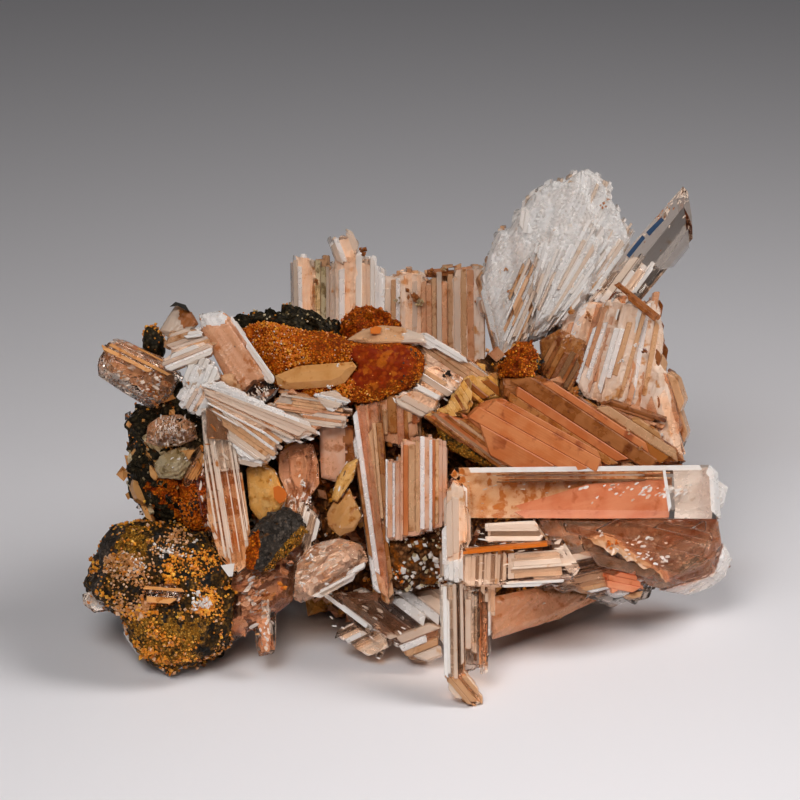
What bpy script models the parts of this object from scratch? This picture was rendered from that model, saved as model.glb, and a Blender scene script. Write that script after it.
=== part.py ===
"""A cabinet specimen of selenite: gypsum crystals on a loose lump of limonite and goethite.

The pieces are laid out on the plane that faces the viewer, who looks down on the specimen by VIEW_PITCH.
A place is given in millimetres as right, up and near: right and up lie in that plane and near comes out of
it. Every crystal is the solid that its face planes enclose, and every rock is a sphere drawn out to an outline.
"""

import math
from dataclasses import dataclass

import bmesh
import bpy
from mathutils import Matrix, Vector, geometry, noise

# Driving dimensions, in millimetres and degrees
VIEW_PITCH = 22.0  # how far the viewer looks down on the specimen
FLOOR_DROP = 50.7  # height of the middle of the layout above the ground
GAP = 0.3  # clearance between two touching pieces
LEAST_EDGE = 0.02  # corners nearer than this become one
LEAST_VOLUME = 1.0  # cubic millimetres, below which a cut piece is a mistake
FLAT = math.radians(0.1)  # faces that meet at less than this are one face
ROCK_GAP = 1.4  # a rock grows along its radius, so it takes more than the gap to clear a slanting side
SOFTENING = [math.radians(turn) for turn in (-8, -4, 0, 4, 8)]  # angles over which an outline is rounded
PLANE_SLACK = 1e-4  # how far a corner may lie off its planes, and a cut off the ground
PARALLEL = 1e-9  # a side that crosses a ray by less than this runs along it
SIDE_SLACK = 1e-6  # share of a side's length by which a ray may miss it
WELD = 2e-6  # corners nearer than this, in metres, become one after a cut
SEED_STEP = (17.3, 5.1, 9.7)  # how far apart in the noise two rocks' lumps are taken
LUMP_FALL = 1.0  # how fast the smaller lumps lose height
LUMP_SHRINK = 2.0  # how much smaller each set of lumps is than the one before
LUMP_SETS = 3
TO_METRES = 0.001

PITCH = math.radians(VIEW_PITCH)
RIGHT = Vector((1.0, 0.0, 0.0))
UP = Vector((0.0, math.sin(PITCH), math.cos(PITCH)))
NEAR = Vector((0.0, -math.cos(PITCH), math.sin(PITCH)))
MIDDLE = Vector((0.0, 0.0, FLOOR_DROP))


@dataclass(frozen=True)
class Finish:
    """A plain colour for one kind of crystal or rock."""

    name: str
    colour: tuple
    roughness: float
    metallic: float = 0.0


CLEAR = Finish("clear_selenite", (0.80, 0.74, 0.70), 0.10)
WHITE = Finish("white_selenite", (0.78, 0.70, 0.64), 0.35)
PEACH = Finish("peach_selenite", (0.72, 0.42, 0.28), 0.25)
SALMON = Finish("salmon_selenite", (0.70, 0.24, 0.08), 0.30)
AMBER = Finish("amber_selenite", (0.48, 0.20, 0.06), 0.25)
LIMONITE = Finish("limonite", (0.48, 0.14, 0.02), 0.70)
DRUSE = Finish("gold_druse", (0.42, 0.17, 0.03), 0.55)
GOETHITE = Finish("goethite", (0.045, 0.035, 0.020), 0.45)
MATRIX = Finish("iron_matrix", (0.16, 0.065, 0.025), 0.75)


@dataclass(frozen=True)
class Crystal:
    """One convex crystal.

    outline is its shape as the viewer sees it, near the depth of its front face at the outline's middle,
    thick its depth, lean how far it comes nearer per millimetre to the right and upwards, ridge the fall of
    the front on both sides of its long axis, and bevel the depth cut off its front edges. With free the
    back edges are cut as well.
    """

    outline: tuple
    near: float
    thick: float
    lean: tuple = (0.0, 0.0)
    ridge: float = 0.0
    bevel: float = 0.5
    free: bool = False


@dataclass(frozen=True)
class Rock:
    """One rough lump.

    outline is its shape as the viewer sees it, near and far the depths of its front and back, rough the
    height of its lumps and lumps their width, detail how often its faces are split, boxy how square it is
    (2 gives an ellipsoid), and lean how far it comes nearer per millimetre to the right and upwards.
    """

    outline: tuple
    near: float
    far: float
    rough: float = 0.8
    lumps: float = 7.0
    detail: int = 2
    boxy: float = 3.0
    lean: tuple = (0.0, 0.0)
    seed: int = 1


@dataclass(frozen=True)
class Piece:
    """A named solid of the specimen, made of one or more shapes that have grown together."""

    name: str
    finish: Finish
    shapes: tuple


def middle_of(outline):
    """The mean of an outline's corners."""
    return (
        sum(point[0] for point in outline) / len(outline),
        sum(point[1] for point in outline) / len(outline),
    )


def long_axis(outline):
    """The direction, on the layout plane, in which the outline is longest."""
    right, up = middle_of(outline)
    spread_right = sum((point[0] - right) ** 2 for point in outline)
    spread_up = sum((point[1] - up) ** 2 for point in outline)
    both = sum((point[0] - right) * (point[1] - up) for point in outline)
    angle = 0.5 * math.atan2(2 * both, spread_right - spread_up)
    return math.cos(angle), math.sin(angle)


def place(right, up, near):
    """A point of the layout in the specimen's own frame, in millimetres."""
    return MIDDLE + RIGHT * right + UP * up + NEAR * near


def way(right, up, near):
    """A unit direction of the layout in the specimen's own frame."""
    return (RIGHT * right + UP * up + NEAR * near).normalized()


def turns_left(outline):
    """True for an outline that runs anticlockwise."""
    pairs = zip(outline, outline[1:] + outline[:1])
    return sum(a[0] * b[1] - b[0] * a[1] for a, b in pairs) > 0


def planes_of(crystal):
    """Yields each plane that bounds the crystal, as a point on it and its outward direction."""
    outline = crystal.outline if turns_left(crystal.outline) else crystal.outline[::-1]
    middle = middle_of(outline)
    slope_right, slope_up = crystal.lean
    along = long_axis(outline)
    facing = way(-slope_right, -slope_up, 1)
    for side in (-1, 1):
        fall = side * crystal.ridge
        lean_right = slope_right + fall * along[1]
        lean_up = slope_up - fall * along[0]
        yield place(*middle, crystal.near), way(-lean_right, -lean_up, 1)
    yield place(*middle, crystal.near - crystal.thick), -facing
    for a, b in zip(outline, outline[1:] + outline[:1]):
        outward = way(b[1] - a[1], a[0] - b[0], 0)
        half = ((a[0] + b[0]) / 2, (a[1] + b[1]) / 2)
        depth = crystal.near + slope_right * (half[0] - middle[0]) + slope_up * (half[1] - middle[1])
        yield place(*half, depth), outward
        chamfer = (outward + facing).normalized()
        yield place(*half, depth) - chamfer * crystal.bevel, chamfer
        if crystal.free:
            chamfer = (outward - facing).normalized()
            yield place(*half, depth - crystal.thick) - chamfer * crystal.bevel, chamfer
    yield Vector((0.0, 0.0, 0.0)), Vector((0.0, 0.0, -1.0))


def crystal_shape(crystal, grow):
    """The crystal as a mesh in millimetres, with every face moved outwards by grow."""
    start = place(*middle_of(crystal.outline), crystal.near)
    planes = []
    for point, outward in planes_of(crystal):
        planes.append((*outward, -outward.dot(point + outward * grow - start)))
    corners, _ = geometry.points_in_planes([Vector(plane) for plane in planes], PLANE_SLACK, PLANE_SLACK)
    shape = bmesh.new()
    for corner in corners:
        shape.verts.new(corner + start)
    bmesh.ops.remove_doubles(shape, verts=shape.verts[:], dist=LEAST_EDGE)
    hull = bmesh.ops.convex_hull(shape, input=shape.verts[:])
    inside = [item for item in hull["geom_interior"] if isinstance(item, bmesh.types.BMVert)]
    bmesh.ops.delete(shape, geom=inside, context="VERTS")
    bmesh.ops.dissolve_limit(shape, angle_limit=FLAT, verts=shape.verts[:], edges=shape.edges[:])
    return shape


def cut_at_ground(shape, grow):
    """Cuts away what lies below the ground and closes the face it leaves."""
    everything = shape.verts[:] + shape.edges[:] + shape.faces[:]
    ground = Vector((0.0, 0.0, -grow))
    result = bmesh.ops.bisect_plane(
        shape, geom=everything, dist=PLANE_SLACK, plane_co=ground, plane_no=(0, 0, -1), clear_outer=True
    )
    rim = [item for item in result["geom_cut"] if isinstance(item, bmesh.types.BMEdge)]
    if rim:
        bmesh.ops.edgeloop_fill(shape, edges=rim)


def reach(outline, middle, angle):
    """How far the outline lies from its middle at one angle of the layout plane."""
    right, up = math.cos(angle), math.sin(angle)
    farthest = 0.0
    for a, b in zip(outline, outline[1:] + outline[:1]):
        a_right, a_up = a[0] - middle[0], a[1] - middle[1]
        side_right, side_up = b[0] - a[0], b[1] - a[1]
        cross = right * side_up - up * side_right
        if abs(cross) < PARALLEL:
            continue
        along_side = (a_right * up - a_up * right) / cross
        if -SIDE_SLACK <= along_side <= 1 + SIDE_SLACK:
            farthest = max(farthest, (a_right * side_up - a_up * side_right) / cross)
    return farthest


def rock_shape(rock, grow):
    """The rock as a mesh in millimetres: a sphere drawn out to the outline, then roughened and grown."""
    shape = bmesh.new()
    bmesh.ops.create_icosphere(shape, subdivisions=rock.detail + 1, radius=1.0)
    middle = middle_of(rock.outline)
    depth = (rock.near - rock.far) / 2
    seed = Vector(SEED_STEP) * rock.seed
    for vert in shape.verts:
        right, up, near = vert.co
        angle = math.atan2(up, right)
        reaches = [reach(rock.outline, middle, angle + turn) for turn in SOFTENING]
        width = sum(reaches) / len(reaches)
        flat = math.hypot(right, up)
        swell = (flat**rock.boxy + abs(near) ** rock.boxy) ** (-1 / rock.boxy)
        spot = Vector((right * width, up * width, near * depth)) * swell
        rough = noise.fractal(spot / rock.lumps + seed, LUMP_FALL, LUMP_SHRINK, LUMP_SETS) * rock.rough
        spot *= 1 + (rough + grow * ROCK_GAP) / spot.length
        near = rock.near - depth + spot.z + rock.lean[0] * spot.x + rock.lean[1] * spot.y
        vert.co = place(middle[0] + spot.x, middle[1] + spot.y, near)
    cut_at_ground(shape, grow)
    return shape


def shape_object(name, source, grow=0.0):
    """An object in metres for one crystal or rock."""
    make = crystal_shape if isinstance(source, Crystal) else rock_shape
    shape = make(source, grow)
    bmesh.ops.recalc_face_normals(shape, faces=shape.faces[:])
    shape.transform(Matrix.Scale(TO_METRES, 4))
    mesh = bpy.data.meshes.new(name)
    shape.to_mesh(mesh)
    shape.free()
    return bpy.data.objects.new(name, mesh)


def bounds(item):
    """The lowest and highest corners of an object's mesh."""
    corners = [vert.co for vert in item.data.vertices]
    low = Vector([min(corner[axis] for corner in corners) for axis in range(3)])
    high = Vector([max(corner[axis] for corner in corners) for axis in range(3)])
    return low, high


def apart(first, second):
    """True when the boxes of two objects don't meet."""
    low_a, high_a = bounds(first)
    low_b, high_b = bounds(second)
    return any(low_a[axis] > high_b[axis] or low_b[axis] > high_a[axis] for axis in range(3))


def boolean(item, other, operation):
    """Joins another object to this one, or cuts it away, and keeps the result as this one's mesh."""
    modifier = item.modifiers.new(operation.lower(), "BOOLEAN")
    modifier.operation = operation
    modifier.object = other
    graph = bpy.context.evaluated_depsgraph_get()
    result = bpy.data.meshes.new_from_object(item.evaluated_get(graph))
    item.modifiers.clear()
    old = item.data
    item.data = result
    bpy.data.meshes.remove(old)


def discard(item):
    """Removes an object and its mesh."""
    mesh = item.data
    bpy.data.objects.remove(item)
    bpy.data.meshes.remove(mesh)


def islands(shape):
    """The separate bodies of a mesh, each as a list of faces."""
    left = set(shape.faces)
    bodies = []
    while left:
        body = []
        edge_of_search = [left.pop()]
        while edge_of_search:
            face = edge_of_search.pop()
            body.append(face)
            for edge in face.edges:
                for other in edge.link_faces:
                    if other in left:
                        left.remove(other)
                        edge_of_search.append(other)
        bodies.append(body)
    return bodies


def volume_of(faces):
    """The volume that a closed set of faces holds, in cubic millimetres."""
    total = 0.0
    for face in faces:
        first = face.verts[0].co
        for a, b in zip(face.verts[1:], face.verts[2:]):
            total += first.dot(a.co.cross(b.co)) / 6
    return total / TO_METRES**3


def keep_largest(item):
    """Drops the chips that a cut leaves, and the chips of a face too small to matter."""
    shape = bmesh.new()
    shape.from_mesh(item.data)
    bodies = sorted(islands(shape), key=volume_of, reverse=True)
    if volume_of(bodies[0]) < LEAST_VOLUME:
        raise ValueError(f"{item.name} is nearly all cut away")
    for chip in bodies[1:]:
        bmesh.ops.delete(shape, geom=chip, context="FACES")
    bmesh.ops.remove_doubles(shape, verts=shape.verts[:], dist=WELD)
    bmesh.ops.dissolve_degenerate(shape, edges=shape.edges[:], dist=WELD)
    bmesh.ops.triangulate(shape, faces=shape.faces[:])
    shape.to_mesh(item.data)
    shape.free()


def material_for(finish):
    """The finish's material, made on first use."""
    found = bpy.data.materials.get(finish.name)
    if found:
        return found
    material = bpy.data.materials.new(finish.name)
    material.use_nodes = True
    shader = material.node_tree.nodes["Principled BSDF"]
    shader.inputs["Base Color"].default_value = (*finish.colour, 1.0)
    shader.inputs["Roughness"].default_value = finish.roughness
    shader.inputs["Metallic"].default_value = finish.metallic
    material.diffuse_color = (*finish.colour, 1.0)
    return material


def lath(left, right, top, bottom, near, thick, slant=0.0, skew=0.0):
    """An upright crystal of a comb: slant tips its top edge, and skew moves its top to the right."""
    outline = (
        (left, bottom),
        (right, bottom),
        (right + skew, top - max(slant, 0)),
        (left + skew, top + min(slant, 0)),
    )
    return Crystal(outline, near, thick, bevel=0.25)


# Crystals in front, which keep their whole shape. Each piece is cut back from those above it in this list.
FRONT = (
    Piece("stepped_tablets", CLEAR, (
        Crystal(((12.4, -29.0), (32.0, -27.4), (35.6, -33.2), (34.0, -35.6), (19.0, -37.0), (12.4, -36.6)),
                19.5, 7.0, lean=(-0.10, 0.12), bevel=0.7),
        Crystal(((13.0, -29.8), (15.6, -24.4), (26.6, -23.8), (29.6, -27.6), (29.0, -30.5), (14.0, -31.5)),
                17.5, 7.0, lean=(-0.10, 0.05), bevel=0.7),
    )),
    Piece("hanging_comb", WHITE, (
        Crystal(((8.0, -36.0), (12.6, -36.0), (12.8, -50.0), (12.4, -55.6), (9.2, -55.2), (8.4, -48.0)),
                16.5, 5.0, ridge=0.25),
        lath(12.3, 14.9, -36.4, -54.0, 15.4, 4.4),
        lath(14.5, 16.5, -36.9, -53.4, 14.6, 4.0),
        lath(16.1, 17.7, -37.3, -53.0, 15.2, 3.6),
        Crystal(((9.3, -54.4), (14.4, -53.6), (15.0, -57.0), (16.9, -60.2), (16.0, -61.2), (13.0, -60.2),
                 (10.4, -58.0)), 16.2, 3.6, bevel=0.6),
    )),
    Piece("front_slivers", CLEAR, (
        Crystal(((8.8, -18.0), (10.4, -15.6), (13.0, -17.0), (13.8, -26.0), (12.6, -34.8), (8.4, -35.4)),
                16.2, 6.0, ridge=0.2),
    )),
    Piece("long_prism", PEACH, (
        Crystal(((9.6, -15.2), (11.0, -13.4), (62.2, -13.0), (63.8, -14.6), (64.4, -24.0), (32.0, -23.6),
                 (9.4, -23.4)), 7.0, 11.0, lean=(-0.32, 0.0), bevel=1.2, free=True),
        Crystal(((60.0, -14.4), (63.0, -15.4), (66.0, -17.6), (64.9, -21.6), (60.0, -22.0)),
                -6.0, 6.0, lean=(-0.3, 0.0)),
    )),
    Piece("salmon_comb", SALMON, (
        lath(-2.8, 0.6, -11.6, -28.0, 11.6, 5.2, skew=-0.2),
        lath(0.2, 4.3, -7.5, -27.4, 12.8, 6.0, slant=0.4),
        lath(3.9, 6.4, -6.9, -26.3, 13.6, 6.0, skew=-0.1),
        lath(6.0, 8.2, -7.3, -25.8, 12.9, 5.4),
        lath(7.9, 9.3, -8.7, -25.0, 12.1, 4.6, slant=0.5),
    )),
    Piece("clear_column", CLEAR, (
        Crystal(((-39.4, -1.6), (-35.8, -1.8), (-32.0, -8.0), (-31.2, -15.0), (-28.8, -28.0), (-28.8, -32.0),
                 (-32.4, -34.8), (-35.6, -32.0), (-38.0, -24.0), (-39.2, -10.0)),
                12.5, 7.0, lean=(0.05, 0.10), ridge=0.22, bevel=0.8),
        Crystal(((-40.6, -15.6), (-38.4, -13.6), (-37.0, -20.0), (-35.4, -31.4), (-37.6, -29.0), (-39.6, -23.0)),
                8.6, 6.0, lean=(0.1, 0.05), ridge=0.3),
    )),
    Piece("white_fan", WHITE, (
        Crystal(((-40.0, 3.0), (-35.6, 3.0), (-27.6, -0.9), (-16.8, -5.4), (-16.0, -6.7), (-20.0, -8.4),
                 (-31.0, -5.4), (-38.0, -1.2)), 14.6, 4.0, lean=(-0.05, 0.1), bevel=0.6),
        Crystal(((-37.0, -0.8), (-31.0, -4.2), (-23.0, -7.6), (-24.4, -11.2), (-26.2, -12.6), (-32.2, -10.2),
                 (-34.4, -6.0)), 13.6, 3.8, lean=(-0.05, 0.1), bevel=0.6),
        Crystal(((-32.4, -9.4), (-26.8, -11.2), (-28.0, -13.3), (-31.6, -12.4)), 12.6, 2.6, bevel=0.3),
        Crystal(((-44.0, 0.4), (-42.0, 3.0), (-37.0, 3.2), (-34.6, -1.0), (-38.8, -3.4), (-42.4, -2.4)),
                12.6, 6.0, lean=(0.05, 0.1), bevel=0.8),
    )),
    Piece("goethite_shard", GOETHITE, (
        Rock(((-27.6, -24.0), (-23.4, -21.6), (-20.0, -22.8), (-18.4, -25.2), (-19.6, -27.8), (-22.4, -29.8),
              (-25.6, -33.2), (-28.8, -33.8), (-31.4, -32.4), (-30.8, -29.0), (-29.4, -26.0)),
             13.0, 6.5, rough=0.4, lumps=3.0, boxy=3.5, seed=3),
    )),
    Piece("round_crystal", CLEAR, (
        Crystal(((-32.0, 0.0), (-28.8, 3.4), (-26.0, 4.0), (-24.0, 2.4), (-24.8, 1.0), (-27.6, -1.2),
                 (-30.4, -0.9)), 12.2, 6.0, ridge=0.5, bevel=1.2),
    )),
    Piece("peach_blade", PEACH, (
        Crystal(((-40.2, 17.2), (-35.6, 18.0), (-33.4, 16.2), (-24.6, 3.4), (-26.8, 2.0), (-31.4, 1.2),
                 (-34.8, 4.4), (-39.4, 13.0)), 9.4, 5.0, lean=(0.08, -0.06), bevel=0.9),
    )),
    Piece("white_lump", WHITE, (
        Rock(((-43.4, 4.0), (-42.0, 7.4), (-39.0, 8.1), (-36.0, 7.0), (-35.4, 4.4), (-37.4, 2.9), (-40.2, 2.2),
              (-42.0, 0.0), (-43.6, 0.2)), 12.4, 3.0, rough=0.7, lumps=3.0, seed=5),
    )),
    Piece("rusty_shard", AMBER, (
        Crystal(((-36.4, 5.0), (-32.0, 5.6), (-29.0, 3.0), (-32.0, 0.8), (-35.0, 2.2)), 10.6, 5.0,
                lean=(-0.1, 0.1), ridge=0.3),
    )),
    Piece("striated_shards", WHITE, (
        Crystal(((-48.0, 8.0), (-46.4, 6.2), (-43.6, 6.2), (-36.6, 9.6), (-36.6, 11.2), (-39.0, 11.8),
                 (-44.0, 10.8)), 10.8, 4.6, lean=(0.05, -0.1), ridge=0.25),
        Crystal(((-47.4, 10.6), (-45.6, 13.4), (-39.0, 14.4), (-36.8, 13.2), (-36.8, 10.4), (-44.0, 9.6)),
                8.2, 5.0, lean=(0.05, -0.1), ridge=0.2),
    )),
    Piece("upper_left_prism", CLEAR, (
        Crystal(((-60.6, 7.4), (-60.2, 4.8), (-55.0, 1.4), (-49.6, -1.8), (-45.6, 0.4), (-43.6, 5.0),
                 (-47.0, 8.4), (-55.6, 12.2), (-58.2, 11.6)), 8.2, 11.0, lean=(0.05, -0.12), ridge=0.16,
                bevel=1.4, free=True),
    )),
    Piece("peak_crystal", WHITE, (
        Crystal(((-48.4, 13.6), (-46.0, 17.6), (-44.8, 19.2), (-42.2, 18.4), (-40.2, 15.2), (-42.0, 13.4),
                 (-45.6, 12.0)), 2.4, 8.0, lean=(0.1, -0.2), ridge=0.35, bevel=0.8),
    )),
    Piece("cap_rock", GOETHITE, (
        Rock(((-50.8, 14.0), (-48.6, 14.6), (-47.6, 12.0), (-47.8, 8.8), (-50.0, 8.0), (-51.2, 11.0)),
             3.4, -4.0, rough=0.5, lumps=2.0, boxy=3.2, seed=6),
    )),
    Piece("left_stub", CLEAR, (
        Crystal(((-50.8, -8.4), (-50.2, -4.8), (-47.6, -3.0), (-43.6, -2.8), (-40.6, -4.8), (-40.0, -7.6),
                 (-44.0, -9.2), (-48.0, -9.4)), 9.6, 8.0, lean=(0.1, 0.1), ridge=0.15, bevel=0.8),
    )),
    Piece("olive_lump", AMBER, (
        Crystal(((-49.2, -12.8), (-48.0, -11.2), (-44.0, -9.2), (-42.0, -9.4), (-41.4, -12.4), (-43.4, -16.0),
                 (-48.2, -15.6)), 8.2, 9.0, lean=(0.1, 0.0), bevel=1.6),
    )),
    Piece("tapered_blade", PEACH, (
        Crystal(((-24.8, 4.8), (-20.0, 6.8), (-9.4, 7.6), (-8.5, 6.6), (-11.0, 3.4), (-13.4, 2.6), (-22.0, 2.0),
                 (-24.2, 2.6)), 11.4, 6.0, bevel=1.0),
    )),
    Piece("flake_stack", PEACH, (
        Crystal(((-24.0, 1.8), (-21.8, 2.7), (-19.6, 1.4), (-9.6, -1.4), (-9.6, -4.0), (-16.4, -4.0),
                 (-26.2, -1.6)), 10.6, 6.0, lean=(0.0, 0.15), bevel=0.5),
        Crystal(((-17.4, 1.2), (-13.0, 2.0), (-9.6, -0.4), (-14.0, -2.6)), 11.4, 4.0, lean=(0, 0.2), bevel=0.3),
        Crystal(((-20.4, -3.0), (-16.0, -2.0), (-10.4, -3.0), (-11.0, -5.7), (-18.0, -5.5)), 10.9, 5.0,
                bevel=0.4),
        Crystal(((-27.8, -1.4), (-24.0, 0.4), (-20.0, -2.2), (-16.4, -5.8), (-20.0, -5.2)), 9.2, 4.0,
                bevel=0.5),
    )),
    Piece("leaf_crystal", PEACH, (
        Crystal(((-10.8, 12.0), (-7.6, 14.0), (-3.8, 15.0), (0.4, 14.6), (4.8, 13.0), (5.6, 11.4), (0.0, 11.0),
                 (-6.0, 10.9)), 6.0, 9.0, lean=(0.0, -0.5), bevel=0.6),
    )),
    Piece("peach_spike", PEACH, (
        Crystal(((12.8, 4.6), (14.0, 5.0), (14.4, 0.0), (13.8, -3.0), (5.0, -3.6), (9.0, -1.0)), 9.4, 4.0,
                lean=(-0.1, -0.1), bevel=0.4),
        Crystal(((13.2, 4.6), (19.8, 5.4), (20.6, 0.0), (13.8, -1.0)), 5.4, 5.0, lean=(-0.1, 0.0)),
    )),
    Piece("ochre_wedge", LIMONITE, (
        Crystal(((4.4, -3.4), (9.0, -4.6), (20.4, -13.6), (10.4, -14.0), (8.6, -9.4), (4.6, -7.4)), 9.0, 6.0,
                lean=(-0.1, 0.1), bevel=0.6),
    )),
    Piece("salmon_slab", SALMON, (
        Crystal(((12.4, -3.6), (17.4, 0.0), (20.8, 0.0), (40.0, -11.0), (40.0, -14.2), (24.0, -14.2)),
                8.2, 6.0, lean=(-0.22, 0.0), bevel=0.6),
        Crystal(((4.8, -3.2), (8.0, -2.4), (13.0, -3.6), (26.2, -13.6), (19.8, -13.8)), 10.4, 5.0,
                lean=(-0.15, 0.05), bevel=0.4),
    )),
    Piece("grey_columns", CLEAR, (
        Crystal(((-9.4, -0.4), (-3.8, -0.2), (-2.9, -14.0), (-2.3, -28.0), (-0.8, -38.4), (-2.0, -40.6),
                 (-4.6, -38.0), (-6.4, -29.0), (-8.4, -14.0)), 8.8, 6.0, lean=(0.1, -0.06), ridge=0.2),
        Crystal(((-6.4, 0.6), (1.0, 0.8), (3.8, -2.8), (4.2, -7.0), (0.6, -9.6), (-6.0, -8.0)), 7.0, 6.4,
                lean=(0.1, 0.05), ridge=0.15),
    )),
    Piece("taper_crystal", CLEAR, (
        Crystal(((-13.8, -20.0), (-12.6, -15.6), (-10.8, -12.6), (-8.0, -11.2), (-9.2, -15.6), (-12.4, -20.4)),
                10.4, 4.0, ridge=0.25),
    )),
    Piece("rhomb_crystal", PEACH, (
        Crystal(((-14.6, -22.6), (-13.2, -20.0), (-10.0, -17.4), (-7.4, -23.0), (-9.0, -26.0), (-12.0, -27.2),
                 (-14.4, -25.2)), 9.8, 7.0, lean=(0.1, 0.1), ridge=0.3, bevel=1.0),
    )),
    Piece("golden_leaf", AMBER, (
        Crystal(((-30.8, -13.4), (-27.6, -12.0), (-24.8, -14.0), (-22.4, -20.0), (-24.0, -22.4), (-27.6, -24.6),
                 (-30.0, -21.6)), 7.6, 7.0, lean=(0.05, 0.05), ridge=0.2, bevel=0.8),
    )),
    Piece("peach_pane", PEACH, (
        Crystal(((-24.2, -10.4), (-20.8, -8.2), (-17.2, -8.8), (-16.2, -12.4), (-16.0, -16.8), (-18.8, -20.6),
                 (-21.6, -20.6), (-24.2, -15.6)), 9.0, 7.0, lean=(0.05, 0.0), ridge=0.15, bevel=1.2),
        Crystal(((-22.4, -19.4), (-17.6, -20.0), (-15.4, -24.2), (-17.2, -29.0), (-20.0, -32.4), (-24.6, -31.6),
                 (-24.0, -24.0)), 8.0, 8.0, lean=(0.0, 0.1), bevel=1.0),
    )),
    Piece("salmon_pane", SALMON, (
        Crystal(((-16.2, -5.2), (-11.0, -4.4), (-8.2, -5.6), (-8.0, -14.0), (-12.8, -16.4), (-15.8, -15.6)),
                5.6, 8.0, lean=(0.0, 0.0), bevel=0.5),
    )),
    Piece("hanging_rod", CLEAR, (
        Crystal(((-28.8, -36.0), (-24.8, -36.0), (-24.6, -48.0), (-25.0, -50.6), (-28.2, -51.2), (-28.9, -48.0)),
                6.6, 4.0, ridge=0.35, bevel=0.5),
        Crystal(((-34.8, -31.8), (-30.0, -31.4), (-24.0, -28.8), (-20.6, -31.0), (-21.6, -41.4), (-28.4, -45.4),
                 (-33.8, -49.4), (-34.8, -42.0)), 7.4, 14.0, lean=(0.05, 0.08), ridge=0.1, bevel=1.4),
    )),
    Piece("clear_mass", CLEAR, (
        Crystal(((-21.0, -32.4), (-19.0, -29.0), (-12.0, -27.4), (-7.6, -28.6), (-6.2, -32.0), (-8.4, -34.6),
                 (-14.0, -38.2), (-19.6, -40.6), (-22.0, -39.4)), 9.2, 11.0, lean=(0.0, 0.1), ridge=0.15,
                bevel=1.8),
    )),
    Piece("nodule_prism", CLEAR, (
        Crystal(((-50.8, -37.0), (-44.4, -36.4), (-42.8, -38.0), (-43.4, -40.0), (-50.4, -40.0)), 14.2, 6.0,
                ridge=0.2, bevel=0.6),
    )),
    Piece("nodule_rod", CLEAR, (
        Crystal(((-63.4, -38.8), (-62.0, -38.2), (-56.0, -39.2), (-56.0, -41.8), (-61.0, -42.5), (-63.2, -40.8)),
                3.4, 4.6, ridge=0.3, bevel=0.5, free=True),
    )),
    Piece("nodule_rim", CLEAR, (
        Crystal(((-55.6, -46.4), (-52.8, -50.8), (-49.0, -53.2), (-44.8, -54.2), (-39.8, -52.4), (-41.0, -46.0),
                 (-50.0, -43.0)), 2.6, 4.4, bevel=1.0),
    )),
    Piece("bottom_blades", CLEAR, (
        Crystal(((-14.0, -38.4), (-5.0, -37.6), (-1.0, -38.0), (8.0, -38.0), (8.6, -48.0), (0.0, -49.0),
                 (-5.0, -45.0)), 1.6, 12.0, lean=(0.0, 0.2), bevel=1.4),
        Crystal(((-13.4, -46.8), (-8.8, -44.2), (-4.0, -46.0), (-1.6, -48.4), (-4.4, -52.0), (-9.0, -50.0)),
                0.6, 4.0, lean=(0.05, 0.1), bevel=0.5),
        Crystal(((-3.4, -47.4), (8.0, -44.8), (8.4, -51.0), (4.0, -52.4), (1.6, -51.4)), 1.8, 9.0,
                lean=(0.0, 0.1), bevel=0.8),
        Crystal(((-15.8, -38.4), (-14.2, -38.8), (-5.2, -45.4), (-6.0, -47.0)), 3.4, 4.0, bevel=0.3),
    )),
    Piece("spear", CLEAR, (
        Crystal(((39.6, 19.0), (37.4, 21.8), (45.0, 30.0), (54.4, 41.4), (56.6, 43.6), (58.0, 42.0),
                 (58.8, 37.0), (59.0, 32.4), (53.6, 26.0), (47.0, 18.0)), -9.6, 8.0, lean=(0.1, 0.0),
                ridge=0.35, bevel=1.0, free=True),
    )),
    Piece("striated_cluster", PEACH, (
        Crystal(((30.0, 4.0), (32.4, 17.0), (38.0, 20.6), (41.6, 20.2), (38.0, 3.0)), -9.0, 10.0, ridge=0.15,
                bevel=0.8),
        Crystal(((35.0, 3.0), (38.0, 12.0), (41.2, 20.6), (44.6, 21.4), (42.2, 11.0), (39.8, -1.2), (37.0, -0.4)),
                -5.4, 12.0, lean=(-0.1, 0.0), ridge=0.2, bevel=0.8),
        Crystal(((39.4, -1.2), (44.2, 20.2), (49.2, 19.6), (46.8, -3.4)), -3.8, 13.0, lean=(-0.1, 0.05),
                ridge=0.15, bevel=0.8),
        Crystal(((45.8, -4.0), (48.4, 19.0), (52.0, 22.4), (53.8, 13.0), (52.4, 0.0), (51.2, -6.0)), -6.0, 13.0,
                lean=(-0.1, 0.0), ridge=0.2, bevel=0.8),
        Crystal(((48.0, -5.4), (51.0, 7.0), (53.6, 6.8), (55.6, 4.4), (56.0, 0.8), (58.4, -7.4), (57.6, -11.4),
                 (51.0, -12.0)), -5.0, 15.0, lean=(-0.2, 0.0), ridge=0.2, bevel=1.2),
    )),
    Piece("feather_fan", WHITE, (
        Crystal(((20.0, 8.6), (16.0, 23.0), (17.4, 29.2), (19.4, 34.4), (22.4, 35.0), (28.0, 33.0), (29.0, 20.0),
                 (26.0, 12.0)), -9.4, 7.0, lean=(0.05, 0.05), bevel=0.8, free=True),
        Crystal(((24.0, 10.6), (21.6, 33.0), (22.4, 36.0), (26.6, 41.8), (30.4, 44.2), (37.0, 44.4), (40.0, 36.0),
                 (38.0, 20.0), (29.0, 12.4)), -8.2, 7.6, lean=(0.05, 0.08), bevel=0.8, free=True),
        Crystal(((31.0, 14.6), (32.0, 43.8), (36.6, 46.8), (38.2, 47.0), (40.0, 45.4), (42.6, 43.0), (44.8, 37.4),
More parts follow.
